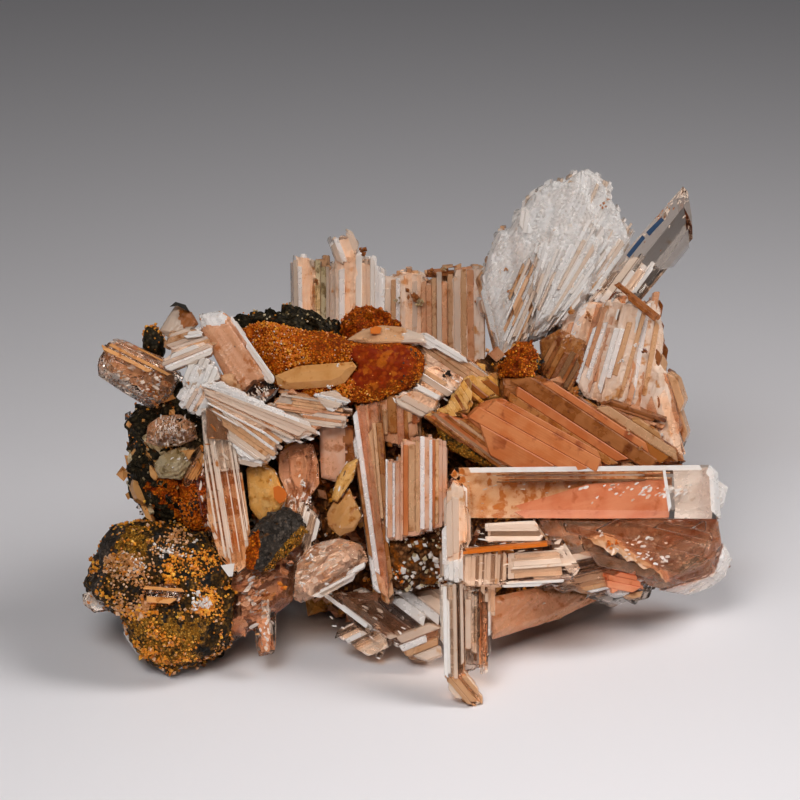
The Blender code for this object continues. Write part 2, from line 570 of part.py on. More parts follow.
                 (47.2, 33.0), (41.0, 21.0)), -9.0, 8.0, lean=(-0.05, 0.08), bevel=0.8, free=True),
        Crystal(((26.6, 13.6), (27.6, 30.4), (31.0, 34.4), (38.0, 35.0), (41.0, 32.0), (38.0, 21.0)), -6.8, 5.0,
                lean=(0.0, 0.05), bevel=0.6, free=True),
    )),
    Piece("cross_band", CLEAR, (
        Crystal(((2.6, 12.6), (6.2, 11.8), (14.4, 6.8), (20.0, 3.2), (19.0, -0.6), (14.0, 0.6), (7.6, 3.2),
                 (4.2, 8.4)), 2.6, 8.0, lean=(0.0, -0.1), bevel=0.7),
        Crystal(((-1.6, 0.8), (3.6, 2.8), (8.4, 0.2), (7.4, -2.6), (4.0, -3.0)), 8.4, 8.0, lean=(0.0, 0.1),
                bevel=0.6),
        Crystal(((3.0, 8.0), (9.0, 6.0), (12.0, 1.6), (7.0, -1.0), (3.0, 2.0)), 4.6, 6.0, bevel=0.7),
    )),
    Piece("comb_ridge", WHITE, (
        lath(-20.4, -16.4, 30.0, 1.0, -20.6, 8.0, slant=0.8, skew=-1.4),
        lath(-17.4, -12.0, 27.6, 0.0, -21.8, 8.6, slant=1.6),
        lath(-13.6, -8.2, 33.8, 0.0, -20.0, 9.0, slant=-0.8, skew=-0.4),
        lath(-9.8, -4.2, 29.6, 0.0, -19.2, 9.4, slant=2.2),
        lath(-5.4, 0.4, 26.2, -1.0, -20.2, 9.0, slant=0.5),
        lath(-0.4, 5.4, 26.8, -2.0, -19.4, 9.6, slant=0.8),
        lath(4.8, 11.0, 25.0, -3.0, -18.6, 9.0, slant=-0.8),
        lath(10.4, 17.8, 27.6, -4.0, -17.6, 9.6, slant=-0.6),
    )),
    Piece("amber_slabs", AMBER, (
        Crystal(((20.0, 4.8), (27.0, 5.0), (40.0, -2.6), (50.0, -10.0), (53.0, -14.2), (38.0, -14.2),
                 (20.0, -0.2)), 4.0, 8.0, lean=(-0.25, 0.0), bevel=0.6),
        Crystal(((32.0, 1.4), (40.0, -1.0), (50.0, -5.0), (58.0, -12.4), (56.0, -14.4), (46.0, -14.4),
                 (36.0, -4.0)), 0.4, 10.0, lean=(-0.25, 0.0), bevel=0.8),
    )),
    Piece("limonite_wedge", LIMONITE, (
        Rock(((20.8, 7.4), (24.0, 11.4), (26.8, 10.2), (26.4, 5.6), (29.0, 2.4), (25.0, 0.2), (19.8, 3.0)),
             6.4, -4.0, rough=0.5, lumps=3.0, boxy=3.5, seed=8),
    )),
    Piece("amber_block", AMBER, (
        Crystal(((28.0, 12.0), (32.0, 14.4), (37.4, 12.0), (36.8, 4.0), (34.0, 0.6), (29.0, 2.6)), -4.4, 9.0,
                lean=(0.1, 0.1), ridge=0.3, bevel=1.0),
    )),
    Piece("brown_blade", AMBER, (
        Crystal(((17.6, -39.6), (28.0, -37.6), (37.0, -38.0), (48.0, -39.6), (32.0, -44.2), (23.0, -48.2),
                 (18.4, -49.2)), -8.0, 5.0, lean=(-0.70, 0.0), bevel=0.8),
    )),
    Piece("right_foot_blades", CLEAR, (
        Crystal(((27.0, -36.6), (35.0, -31.0), (40.0, -29.6), (51.0, -36.0), (49.0, -40.2), (38.0, -39.4)),
                -2.0, 13.0, lean=(-0.4, 0.1), bevel=1.0),
        Crystal(((36.6, -40.2), (39.0, -37.6), (43.0, -37.0), (45.4, -37.8), (45.6, -40.8), (42.0, -41.6)),
                -12.0, 22.0, bevel=0.7),
        Crystal(((40.0, -35.0), (48.0, -34.4), (48.8, -38.2), (42.0, -38.6)), -5.0, 12.0, lean=(-0.2, 0.0)),
    )),
    Piece("smoky_block", AMBER, (
        Crystal(((26.6, -22.0), (48.0, -22.0), (64.0, -22.4), (64.9, -29.0), (63.0, -35.0), (52.0, -38.2),
                 (40.0, -34.0), (31.0, -31.0)), -3.0, 15.0, lean=(-0.3, 0.0), ridge=0.1, bevel=1.6),
    )),
    Piece("pale_lobe", WHITE, (
        Crystal(((60.0, -31.0), (63.0, -28.4), (65.4, -28.8), (67.2, -32.0), (66.0, -35.6), (63.0, -38.0),
                 (58.0, -39.6), (52.0, -38.4), (55.0, -33.0)), -10.6, 15.0, lean=(-0.1, 0.1), ridge=0.3,
                bevel=1.8, free=True),
    )),
)

# Blades on the hidden side, which the matrix carries behind the comb ridge
REAR = (
    Piece("rear_blades_left", CLEAR, (
        Crystal(((-28.0, 6.0), (-19.0, 14.0), (-9.0, 8.0), (-10.0, -14.0), (-17.0, -27.0), (-25.0, -20.0)),
                -24.0, 10.0, lean=(-0.15, 0.35), ridge=0.15, bevel=1.4, free=True),
        Crystal(((-22.0, -28.0), (-16.0, -31.0), (-2.0, 0.0), (-5.0, 5.0), (-10.0, 2.0)), -31.5, 6.0,
                lean=(-0.1, 0.4), bevel=1.0, free=True),
    )),
    Piece("rear_blades_middle", PEACH, (
        Crystal(((-8.0, 10.0), (4.0, 14.0), (14.0, 2.0), (8.0, -25.0), (-5.0, -21.0)), -30.0, 8.0,
                lean=(0.05, 0.35), bevel=1.2, free=True),
        Crystal(((2.0, 8.0), (10.0, 12.0), (24.0, -20.0), (17.0, -31.0), (8.0, -24.0)), -33.0, 7.0,
                lean=(0.0, 0.4), bevel=1.0, free=True),
        Crystal(((-6.0, -12.0), (14.0, -37.0), (21.0, -34.0), (4.0, -7.0)), -36.0, 6.0, lean=(0.0, 0.4),
                bevel=0.8, free=True),
    )),
    Piece("rear_blades_right", AMBER, (
        Crystal(((17.0, 8.0), (33.0, 10.0), (44.0, -6.0), (37.0, -28.0), (21.0, -24.0)), -27.0, 9.0,
                lean=(-0.1, 0.35), bevel=1.4, free=True),
        Crystal(((31.0, 0.0), (37.0, 3.0), (50.0, -22.0), (45.0, -31.0), (38.0, -27.0)), -30.0, 8.0,
                lean=(0.15, 0.4), bevel=1.0, free=True),
    )),
)

# The rock, which is cut back from every crystal that stands in it
GROUND = (
    Piece("ochre_slab", LIMONITE, (
        Rock(((-34.8, 17.0), (-27.6, 16.0), (-22.0, 12.6), (-17.6, 13.6), (-11.0, 12.2), (-5.0, 10.9), (3.6, 11.8),
              (4.8, 7.6), (4.3, 4.4), (2.4, 2.4), (-4.4, -0.2), (-6.8, -1.6), (-9.6, -0.6), (-20.0, 1.0),
              (-25.0, 2.6), (-29.4, 10.0)), 9.6, -9.0, rough=0.5, lumps=4.0, detail=3, boxy=5.0, seed=11),
    )),
    Piece("goethite_crest", GOETHITE, (
        Rock(((-35.0, 16.6), (-29.0, 16.8), (-23.0, 18.0), (-19.8, 17.5), (-16.0, 16.5), (-12.2, 14.4),
              (-11.4, 11.6), (-16.0, 11.0), (-25.0, 11.0), (-32.0, 12.0)), -0.5, -18.0, rough=0.7, lumps=3.0,
             boxy=3.5, seed=12),
    )),
    Piece("rear_limonite", LIMONITE, (
        Rock(((-12.0, 13.0), (-10.8, 17.0), (-8.0, 18.0), (-3.8, 18.0), (-1.2, 14.6), (2.0, 11.0), (-4.0, 9.0),
              (-10.0, 9.0)), -3.0, -18.0, rough=0.6, lumps=3.0, boxy=3.5, seed=13),
    )),
    Piece("dark_rock", GOETHITE, (
        Rock(((-3.4, -28.0), (0.0, -27.0), (7.0, -25.0), (8.8, -28.0), (8.8, -36.6), (-0.6, -37.6), (-3.0, -33.0)),
             9.6, -2.0, rough=0.6, lumps=3.0, boxy=4.5, seed=14),
    )),
    Piece("rusty_druse", LIMONITE, (
        Rock(((-44.8, -16.2), (-40.8, -15.8), (-38.6, -21.0), (-38.0, -26.0), (-42.0, -26.6), (-43.4, -22.0)),
             5.6, -6.0, rough=0.5, lumps=2.0, boxy=3.5, seed=15),
    )),
    Piece("druse_nodule", DRUSE, (
        Rock(((-56.0, -24.0), (-53.6, -24.4), (-50.4, -25.6), (-44.0, -25.2), (-38.0, -26.2), (-33.6, -31.0),
              (-32.0, -38.0), (-32.2, -44.0), (-34.2, -49.2), (-39.0, -51.8), (-44.0, -53.8), (-48.0, -53.0),
              (-51.4, -50.6), (-54.2, -47.6), (-55.2, -43.6), (-57.6, -41.8), (-59.4, -39.4), (-62.6, -38.2),
              (-61.4, -34.2), (-58.8, -28.0)), 12.6, -16.0, rough=1.3, lumps=6.0, boxy=2.6, seed=16),
    )),
    Piece("wall_rock", GOETHITE, (
        Rock(((-51.6, -1.4), (-47.0, 2.0), (-38.0, 6.0), (-30.0, 4.0), (-26.0, -10.0), (-28.0, -24.0),
              (-35.0, -27.0), (-48.0, -25.2), (-50.6, -23.4), (-52.8, -19.8), (-54.4, -15.6), (-53.6, -10.4),
              (-53.2, -6.4), (-54.4, -4.0)), 4.0, -18.0, rough=1.8, lumps=7.0, boxy=2.8, seed=17),
    )),
    Piece("matrix_core", MATRIX, (
        Rock(((-34.0, -8.0), (-29.0, 6.0), (-12.0, 9.0), (14.0, 7.0), (36.0, 4.0), (50.0, -5.0), (53.0, -20.0),
              (44.0, -32.0), (30.0, -42.0), (10.0, -50.0), (-6.0, -48.0), (-22.0, -37.0), (-33.0, -24.0)),
             -3.0, -38.0, rough=2.6, lumps=11.0, boxy=2.4, lean=(0.0, 0.4), seed=18),
    )),
)


def joined(piece):
    """The piece's shapes as one solid object."""
    first, *others = piece.shapes
    whole = shape_object(piece.name, first)
    bpy.context.scene.collection.objects.link(whole)
    for index, source in enumerate(others):
        part = shape_object(f"{piece.name}_{index}", source)
        bpy.context.scene.collection.objects.link(part)
        boolean(whole, part, "UNION")
        discard(part)
    return whole


def clearances(piece, collection):
    """The piece's shapes grown by the gap, as hidden cutters."""
    cutters = []
    for index, source in enumerate(piece.shapes):
        cutter = shape_object(f"clearance_{piece.name}_{index}", source, GAP)
        cutter.hide_render = True
        cutter.display_type = "WIRE"
        collection.objects.link(cutter)
        cutters.append(cutter)
    return cutters


def centre_on_origin(items):
    """Moves every mesh so that the specimen stands on the ground with the middle of its box over the origin."""
    boxes = [bounds(item) for item in items]
    shift = Vector((0.0, 0.0, 0.0))
    for axis in (0, 1):
        lowest = min(low[axis] for low, high in boxes)
        highest = max(high[axis] for low, high in boxes)
        shift[axis] = -(lowest + highest) / 2
    for item in items:
        item.data.transform(Matrix.Translation(shift))


def clear_scene():
    """Removes the objects that the scene starts with."""
    for item in list(bpy.data.objects):
        bpy.data.objects.remove(item)


def main():
    """Builds every piece, cuts it back from those before it, and centres the specimen."""
    clear_scene()
    parts = bpy.data.collections.new("selenite")
    cutters = bpy.data.collections.new("clearances")
    for collection in (parts, cutters):
        bpy.context.scene.collection.children.link(collection)
    made = []
    grown = []
    for piece in (*FRONT, *REAR, *GROUND):
        item = joined(piece)
        for cutter in grown:
            if not apart(item, cutter):
                boolean(item, cutter, "DIFFERENCE")
        keep_largest(item)
        item.data.materials.clear()
        item.data.materials.append(material_for(piece.finish))
        bpy.context.scene.collection.objects.unlink(item)
        parts.objects.link(item)
        made.append(item)
        grown += clearances(piece, cutters)
    for cutter in grown:
        discard(cutter)
    bpy.data.collections.remove(cutters)
    centre_on_origin(made)


if __name__ == "__main__":
    main()
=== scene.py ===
"""Looks for a cabinet specimen of selenite, grown on and through a loose lump of limonite and goethite.

Every piece is laid out as the viewer sees it. Outlines are drawn on a sheet that faces the viewer, 800 by 800
fifths of a millimetre with its origin at the top left, and are written as "x,y x,y x,y". Depths are millimetres
towards the viewer, and angles degrees from the right.
"""

import logging
import math
import random
from dataclasses import dataclass, fields
from enum import Enum

import bmesh
import bpy
import numpy as np
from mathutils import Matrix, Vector, noise


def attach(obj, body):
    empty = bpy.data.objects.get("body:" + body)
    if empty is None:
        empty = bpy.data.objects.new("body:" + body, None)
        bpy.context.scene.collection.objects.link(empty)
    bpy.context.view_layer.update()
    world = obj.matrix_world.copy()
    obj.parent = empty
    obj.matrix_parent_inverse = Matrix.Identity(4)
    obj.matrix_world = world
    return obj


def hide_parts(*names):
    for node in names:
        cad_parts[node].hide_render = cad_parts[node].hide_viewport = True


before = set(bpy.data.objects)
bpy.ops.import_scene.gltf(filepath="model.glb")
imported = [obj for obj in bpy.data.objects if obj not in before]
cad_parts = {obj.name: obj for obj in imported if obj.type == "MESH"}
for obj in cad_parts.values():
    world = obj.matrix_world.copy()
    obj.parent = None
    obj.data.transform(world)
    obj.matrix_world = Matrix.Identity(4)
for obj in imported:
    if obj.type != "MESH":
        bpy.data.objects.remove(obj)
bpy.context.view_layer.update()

logging.basicConfig(level=logging.INFO, format="%(message)s")
LOG = logging.getLogger("specimen")

Colour = tuple[float, float, float]
Place = tuple[float, float, float]
Point = tuple[float, float]
Outline = str
Rng = random.Random

PITCH = math.radians(22)
MIDDLE = np.array((-1.9, -1.05419, 50.7))
AXES = np.array(((1, 0, 0), (0, math.sin(PITCH), math.cos(PITCH)), (0, -math.cos(PITCH), math.sin(PITCH))))
SHEET_MIDDLE, SHEET_SCALE = 400, 5
MILLIMETRE = 0.001
SEED = 1
TINY, EDGE_SLACK = 1e-9, 1e-6

GRAIN = "grain"
GRAIN_SPREAD = 400
GRAIN_SKEW = 0.7

THIN_REST, NARROW_REST = 0.15, 0.01
SHORTEST_SPAN, SHORTEST_LATH = 0.3, 0.4
START_VARIES, END_VARIES, DEPTH_VARIES = (-0.2, 0.5), (-0.4, 1), (0.95, 1.2)
EDGE_SHARE, STEEPEST = 0.8, 1.6
LAYER_OVERLAP, NARROWEST = 0.96, 0.12
CUT, CUT_SHARE, CUT_VARIES = 0.22, 0.25, (0.6, 1.3)
TIP_CUT, TIP_SHARE, WAVER = 1.2, 0.2, 0.06
LATH_SIDES = 8

FLAKE_SIDES, FLAKE_HALF_DEPTH = 7, 0.04
FLAKE_STRAY, FLAKE_JITTER, FLAKE_REACH = 12, (-0.3, 0.3), (0.6, 1.1)
PULL_EVENS = 0.3
DOT_GRAINS, DOT_SPREAD, DOT_VARIES = 6, 0.35, (0.35, 0.6)

GROOVE_LENGTH, GROOVE_FINER, GROOVE_SEED = 9, 2.7, 50
CHIP_FINER, CHIP_LENGTH = 1.3, 0.05
ZONE_WAVE = 1.7
WELD, FLAT_DEGREES, SHARP_DEGREES = 1e-5, 4, 12
BEVEL_ROUNDS, BEVEL_PROFILE = 2, 0.6

LUMP_OFFSET = Vector((13.7, 7.1, 0))
FACET_SIZE, FACET_HEIGHT, FACET_SEEDS = 2.6, 3, (3.1, 5.3, 7.7)
FACING_AWAY, CROP_WAVE, CROP_SHARE, CROP_STRAY = -0.1, 4, 0.55, 0.4
CROP_SMALLEST, CROP_STANDS = 0.7, (0.1, 0.7)
GRAIN_WIDE, GRAIN_DEEP = (0.55, 0.95), (0.5, 0.9)

SELENITE_IOR = 1.52
LETS_LAMPS_THROUGH = 0.3


class Slot(Enum):
    """The frame's material slots."""

    CLEAR = "clear_selenite"
    WHITE = "white_selenite"
    PEACH = "peach_selenite"
    SALMON = "salmon_selenite"
    AMBER = "amber_selenite"
    LIMONITE = "limonite"
    DRUSE = "gold_druse"
    GOETHITE = "goethite"
    MATRIX = "iron_matrix"


def to_frame(points: np.ndarray) -> np.ndarray:
    """Layout points in millimetres as points of the frame in metres."""
    return (points @ AXES + MIDDLE) * MILLIMETRE


def to_layout(points: np.ndarray) -> np.ndarray:
    """Points of the frame in metres as layout points in millimetres."""
    return (points / MILLIMETRE - MIDDLE) @ AXES.T


def from_sheet(drawn: Outline | Point) -> np.ndarray:
    """Turns an outline or a point of the sheet into layout millimetres, right and up.

    Args:
        drawn: the outline or the point.

    Returns:
        The outline's corners, or the point.
    """
    corners = [corner.split(",") for corner in drawn.split()] if isinstance(drawn, str) else drawn
    x, y = np.array(corners, float).T
    return np.stack((x - SHEET_MIDDLE, SHEET_MIDDLE - y), axis=-1) / SHEET_SCALE


def inside(corners: np.ndarray, spots: np.ndarray) -> np.ndarray:
    """Tells which spots lie inside an outline.

    Args:
        corners: the outline's corners.
        spots: the spots, right and up.

    Returns:
        True or False for each spot.
    """
    found = np.zeros(len(spots), bool)
    for a, b in zip(corners, np.roll(corners, -1, axis=0)):
        passes = (a[1] > spots[:, 1]) != (b[1] > spots[:, 1])
        rise = b[1] - a[1] if abs(b[1] - a[1]) > TINY else TINY
        found ^= passes & (spots[:, 0] < (b[0] - a[0]) * (spots[:, 1] - a[1]) / rise + a[0])
    return found


def crossings(corners: np.ndarray, start: np.ndarray, way: np.ndarray) -> Point | None:
    """Where a line enters and leaves an outline.

    Args:
        corners: the outline's corners.
        start: a point of the line.
        way: the line's unit direction.

    Returns:
        The distances along the line, or None where it misses.
    """
    hits = []
    for a, b in zip(corners, np.roll(corners, -1, axis=0)):
        side, gap = b - a, a - start
        cross = way[0] * side[1] - way[1] * side[0]
        if abs(cross) < TINY:
            continue
        if -EDGE_SLACK <= (gap[0] * way[1] - gap[1] * way[0]) / cross <= 1 + EDGE_SLACK:
            hits.append((gap[0] * side[1] - gap[1] * side[0]) / cross)
    return (min(hits), max(hits)) if len(hits) > 1 else None


def turned(degrees: float) -> np.ndarray:
    """The unit direction at an angle."""
    return np.array((math.cos(math.radians(degrees)), math.sin(math.radians(degrees))))


def read(mesh: bpy.types.Mesh, kind: str) -> np.ndarray:
    """Reads a vector of each corner of a mesh.

    Args:
        mesh: the mesh.
        kind: co for its place in metres, or normal for its outward direction.

    Returns:
        The vectors.
    """
    found = np.empty(len(mesh.vertices) * 3)
    mesh.vertices.foreach_get(kind, found)
    return found.reshape(-1, 3)


def solid_of(node: str) -> np.ndarray:
    """The corners of a solid of the frame, as layout points."""
    return to_layout(read(bpy.data.objects[node].data, "co"))


def link(name: str, mesh: bpy.types.ID) -> bpy.types.Object:
    """Puts a new object into the scene.

    Args:
        name: its name.
        mesh: its mesh, lamp or camera.

    Returns:
        The object.
    """
    made = bpy.data.objects.new(name, mesh)
    bpy.context.scene.collection.objects.link(made)
    return made


def rings(sides: int, count: int = 2) -> list[tuple[int, ...]]:
    """The faces of a closed rod whose corners lie in rings, one after another.

    Args:
        sides: the corners of a ring.
        count: the number of rings.

    Returns:
        The faces, both ends first.
    """
    total = sides * count
    faces = [tuple(range(sides)), tuple(range(total - 1, total - sides - 1, -1))]
    for low in range(0, total - sides, sides):
        for k in range(sides):
            after = (k + 1) % sides
            faces.append((low + k, low + sides + k, low + sides + after, low + after))
    return faces


class Draft:
    """Collects the corners and faces of many solids, which then become one mesh."""

    def __init__(self) -> None:
        """Starts with nothing in it."""
        self.corners: list[np.ndarray] = []
        self.grain: list[np.ndarray] = []
        self.faces: list[tuple[int, ...]] = []
        self.skins: list[int] = []
        self.count = 0

    def add(self, corners: np.ndarray, faces: list, grain: np.ndarray, skins: int | list[int]) -> None:
        """Adds one solid.

        Args:
            corners: its corners as layout points.
            faces: its faces, as numbers of its own corners.
            grain: for each corner, how far it is across and along the crystal, and a number for the crystal.
            skins: which of the piece's finishes it wears, or one number for each face.
        """
        self.corners.append(corners)
        self.grain.append(grain)
        self.faces += [tuple(corner + self.count for corner in face) for face in faces]
        self.skins += [skins] * len(faces) if isinstance(skins, int) else skins
        self.count += len(corners)

    def piece(self, name: str) -> bpy.types.Object:
        """Makes the collected solids one object of the scene, with no material yet.

        Args:
            name: the object's name.

        Returns:
            The object.
        """
        mesh = bpy.data.meshes.new(name)
        placed = to_frame(np.concatenate(self.corners))
        placed[:, 2] = np.maximum(placed[:, 2], 0)
        mesh.from_pydata(placed.tolist(), [], self.faces)
        mesh.polygons.foreach_set("material_index", self.skins)
        carried = mesh.attributes.new(GRAIN, "FLOAT_VECTOR", "POINT")
        carried.data.foreach_set("vector", np.concatenate(self.grain).astype(np.float32).ravel())
        mesh.update()
        return link(name, mesh)


@dataclass(frozen=True)
class Spray:
    """Laths side by side that fill an outline.

    They run parallel at an angle, or away from an apex on the sheet. Each layer lies behind the one before. near
    is the depth of the front at the outline's middle and lean how far it comes nearer per millimetre to the
    right and upwards. step is how far the fronts differ, ragged how far the tips do, short how much of its
    length a front lath may lack, tilt the most that a front turns about its length, and follow how far the tips
    slant with the outline. Each lath wears one of the skins.
    """

    outline: Outline
    angle: float
    near: float
    thick: float
    width: Point
    lean: Point = (0, 0)
    layers: int = 3
    step: float = 0.35
    ragged: float = 2
    short: float = 0.12
    tilt: float = 12
    skins: tuple[int, ...] = (0, 2, 1)
    follow: float = 0.7
    apex: Point | None = None

    def rays(self, rng: Rng, corners: np.ndarray) -> list[tuple[np.ndarray, np.ndarray, float, float]]:
        """The lines on which the laths lie.

        Args:
            rng: the source of the differences between laths.
            corners: the outline in millimetres.

        Returns:
            For each lath a point of its line, its direction, half its width there and how that grows.
        """
        found = []
        if self.apex is None:
            way = turned(self.angle)
            side = np.array((-way[1], way[0]))
            at, high = float((corners @ side).min()), float((corners @ side).max())
            while at < high - THIN_REST:
                wide = min(rng.uniform(*self.width), high - at)
                found.append((side * (at + wide / 2), way, wide / 2, 0))
                at += wide
            return found
        apex = from_sheet(self.apex)
        arms = corners - apex
        middle = math.atan2(*(arms.mean(axis=0)[::-1]))
        turns = [(math.atan2(arm[1], arm[0]) - middle + math.pi) % math.tau - math.pi for arm in arms]
        far = float(np.linalg.norm(arms, axis=1).mean())
        at, high = min(turns), max(turns)
        while at < high - NARROW_REST:
            wide = min(rng.uniform(*self.width) / far, high - at)
            turn = middle + at + wide / 2
            found.append((apex, np.array((math.cos(turn), math.sin(turn))), 0, math.tan(wide / 2)))
            at += wide
        return found

    def lay(self, draft: Draft, rng: Rng, solid: np.ndarray) -> None:
        """Adds every lath.

        Args:
            draft: what they are added to.
            rng: the source of their differences.
            solid: the corners of the piece's solid, which laths don't need.
        """
        corners = from_sheet(self.outline)
        middle = corners.mean(axis=0)
        layer_thick = self.thick / self.layers
        for layer in range(self.layers):
            lack = self.short * (1 - layer / (self.layers - 1)) if self.layers > 1 else 0
            for start, way, half, growth in self.rays(rng, corners):
                span = crossings(corners, start, way)
                if span is None or span[1] - span[0] < SHORTEST_SPAN:
                    continue
                length = span[1] - span[0]
                first = span[0] + rng.uniform(*START_VARIES) * self.ragged + rng.random() * lack * length
                last = span[1] - rng.uniform(*END_VARIES) * self.ragged - rng.random() * lack * length
                if last - first < SHORTEST_LATH:
                    continue
                side = np.array((-way[1], way[0])) * max(half, growth * span[1]) * EDGE_SHARE
                low, high = (crossings(corners, start + side * sign, way) or span for sign in (-1, 1))
                runs = [(high[k] - low[k]) / (2 * np.linalg.norm(side)) for k in (0, 1)]
                slants = [self.follow * max(-STEEPEST, min(STEEPEST, run)) for run in runs]
                drop = layer * layer_thick * LAYER_OVERLAP + rng.uniform(0, self.step)
                ends = []
                for far in (first, last):
                    spot = start + way * far
                    ends.append(np.array((*spot, self.near + np.dot(self.lean, spot - middle) - drop)))
                halves = [max(half + growth * far, NARROWEST) for far in (first, last)]
                deep = layer_thick * rng.uniform(*DEPTH_VARIES)
                lath(draft, rng, ends, halves, deep, slants, self.tilt, rng.choice(self.skins))


def lath(
    draft: Draft, rng: Rng, ends: list, halves: list, thick: float, slants: list, tilt: float, skin: int
) -> None:
    """Adds one lath with bevelled edges and slanting ends.

    Args:
        draft: what it is added to.
        rng: the source of its small differences.
        ends: the middles of its two ends, on its front face.
        halves: half its width at the two ends.
        thick: its depth.
        slants: how far each end runs on per millimetre across.
        tilt: the most that its front turns about its length.
        skin: which finish it wears.
    """
    along = ends[1] - ends[0]
    length = float(np.linalg.norm(along))
    along /= length
    across = np.array((-along[1], along[0], 0))
    across /= np.linalg.norm(across)
    out = np.cross(along, across)
    turn = math.radians(rng.uniform(-tilt, tilt))
    across, out = across * math.cos(turn) + out * math.sin(turn), out * math.cos(turn) - across * math.sin(turn)
    cut = min(CUT, CUT_SHARE * min(halves), CUT_SHARE * thick) * rng.uniform(*CUT_VARIES)
    own, shift = rng.random(), rng.uniform(0, GRAIN_SPREAD)
    rows, grain = [], []
    tips = min(cut * TIP_CUT, length * TIP_SHARE)
    for far, end, inset in ((0, 0, cut), (tips, 0, 0), (length - tips, 1, 0), (length, 1, cut)):
        half = halves[0] + (halves[1] - halves[0]) * far / length - inset
        deep = thick - inset
        front = [(-half + cut, -inset), (half - cut, -inset), (half, -cut - inset)]
        back = [(half, -deep + cut), (half - cut, -deep), (-half + cut, -deep)]
        for a, d in (*front, *back, (-half, -deep + cut), (-half, -cut - inset)):
            run = far + slants[end] * a + rng.uniform(-WAVER, WAVER)
            rows.append(ends[0] + along * run + across * a + out * d)
            grain.append((a + shift, run + shift, own))
    draft.add(np.array(rows), rings(LATH_SIDES, 4), np.array(grain), skin)


@dataclass(frozen=True)
class Flakes:
    """Thin flakes strewn through a crystal, such as cracks, frost and rust.

    Their long side lies at an angle and their faces are turned from the viewer by no more than turn. size is
    half their length in millimetres, slim their width against that, and towards a spot of the sheet that draws
    them as strongly as pull says.
    """

    count: int
    size: Point
    angle: float
    turn: float = 40
    slim: float = 0.5
    skins: tuple[int, ...] = (1,)
    towards: Point | None = None
    pull: float = 0.6

    def lay(self, draft: Draft, rng: Rng, solid: np.ndarray) -> None:
        """Adds every flake.

        Args:
            draft: what they are added to.
            rng: the source of their differences.
            solid: the corners of the crystal's solid, as layout points.
        """
        for _ in range(self.count * 2):
            shares = np.array([rng.random() ** 2 for _ in range(4)]) + 0.01
            centre = shares @ solid[[rng.randrange(len(solid)) for _ in range(4)]] / shares.sum()
            if self.towards:
                goal = np.array((*from_sheet(self.towards), centre[2]))
                centre += (goal - centre) * self.pull * rng.random() ** PULL_EVENS
            way = turned(self.angle + rng.gauss(0, FLAKE_STRAY))
            along = np.array((*way, 0))
            tip = math.radians(rng.uniform(-self.turn, self.turn))
            across = np.array((-way[1] * math.cos(tip), way[0] * math.cos(tip), math.sin(tip)))
            out = np.cross(along, across)
            size = rng.uniform(*self.size) / 2
            rim = []
            for k in range(FLAKE_SIDES):
                turn = (k + rng.uniform(*FLAKE_JITTER)) * math.tau / FLAKE_SIDES
                far = size * rng.uniform(*FLAKE_REACH)
                rim.append(along * math.cos(turn) * far + across * math.sin(turn) * far * self.slim)
            lifts = (FLAKE_HALF_DEPTH, -FLAKE_HALF_DEPTH)
            rows = np.array([centre + point + out * lift for lift in lifts for point in rim])
            own = np.tile((rng.uniform(0, GRAIN_SPREAD), 0, rng.random()), (len(rows), 1))
            draft.add(rows, rings(FLAKE_SIDES), own + rows * (1, 1, 0), rng.choice(self.skins))


@dataclass(frozen=True)
class Dots:
    """Small clusters of grains, each given by its spot on the sheet, its depth, its size in mm and its skin. White
    clusters paint glints and black ones paint shade in hollows; the rest are specks of colour.
    """

    spots: tuple[tuple[float, float, float, float, int], ...]

    def lay(self, draft: Draft, rng: Rng, solid: np.ndarray) -> None:
        """Adds every cluster.

        Args:
            draft: what they are added to.
            rng: the source of their differences.
            solid: the corners of the piece's solid, which clusters don't need.
        """
        for x, y, near, size, skin in self.spots:
            middle = np.array((*from_sheet((x, y)), near))
            for _ in range(DOT_GRAINS):
                off = np.array([rng.gauss(0, DOT_SPREAD) for _ in range(3)]) * size
                add_grain(draft, rng, middle + off, size * rng.uniform(*DOT_VARIES), skin)


@dataclass(frozen=True)
class Plate:
    """One flat plate with a given outline, such as a phantom inside a crystal or a band between two, and also a few
    plates of painted reflection and highlight.
    """

    outline: Outline
    near: float
    thick: float = 0.3
    lean: Point = (0, 0)
    angle: float = 0
    skin: int = 1

    def lay(self, draft: Draft, rng: Rng, solid: np.ndarray) -> None:
        """Adds the plate.

        Args:
            draft: what it is added to.
            rng: the source of its own number.
            solid: the corners of the piece's solid, which a plate doesn't need.
        """
        corners = from_sheet(self.outline)
        depth = self.near + (corners - corners.mean(axis=0)) @ np.array(self.lean)
        rows = np.concatenate([np.column_stack((corners, depth - drop)) for drop in (0, self.thick)])
        faces = rings(len(corners))
        if np.cross(*(np.diff(corners[:3], axis=0))) < 0:
            faces = [face[::-1] for face in faces]
        draft.add(rows, faces, grain_of(rows, self.angle, rng.random()), self.skin)


Growth = Spray | Flakes | Plate | Dots


def grain_of(spots: np.ndarray, angle: float, own: float) -> np.ndarray:
    """The grain of layout points on a crystal.

    Args:
        spots: the points.
        angle: the direction of growth.
        own: the number that stands for this crystal.

    Returns:
        For each point, how far it is across and along the crystal, and the number.
    """
    way = turned(angle)
    across = spots[:, 1] * way[0] - spots[:, 0] * way[1] + spots[:, 2] * GRAIN_SKEW
    return np.stack((across, spots[:, :2] @ way, np.full(len(spots), own)), axis=1)


@dataclass(frozen=True)
class Zone:
    """The part of a skin that lies inside an outline and wears another finish."""

    outline: Outline
    skin: int
    blur: float = 0.6

    def marks(self, spots: np.ndarray) -> np.ndarray:
        """Which layout points lie in it."""
        waver = np.array([noise.noise(Vector(spot) / ZONE_WAVE) for spot in spots])[:, None] * self.blur * 2
        return inside(from_sheet(self.outline), spots[:, :2] + waver)


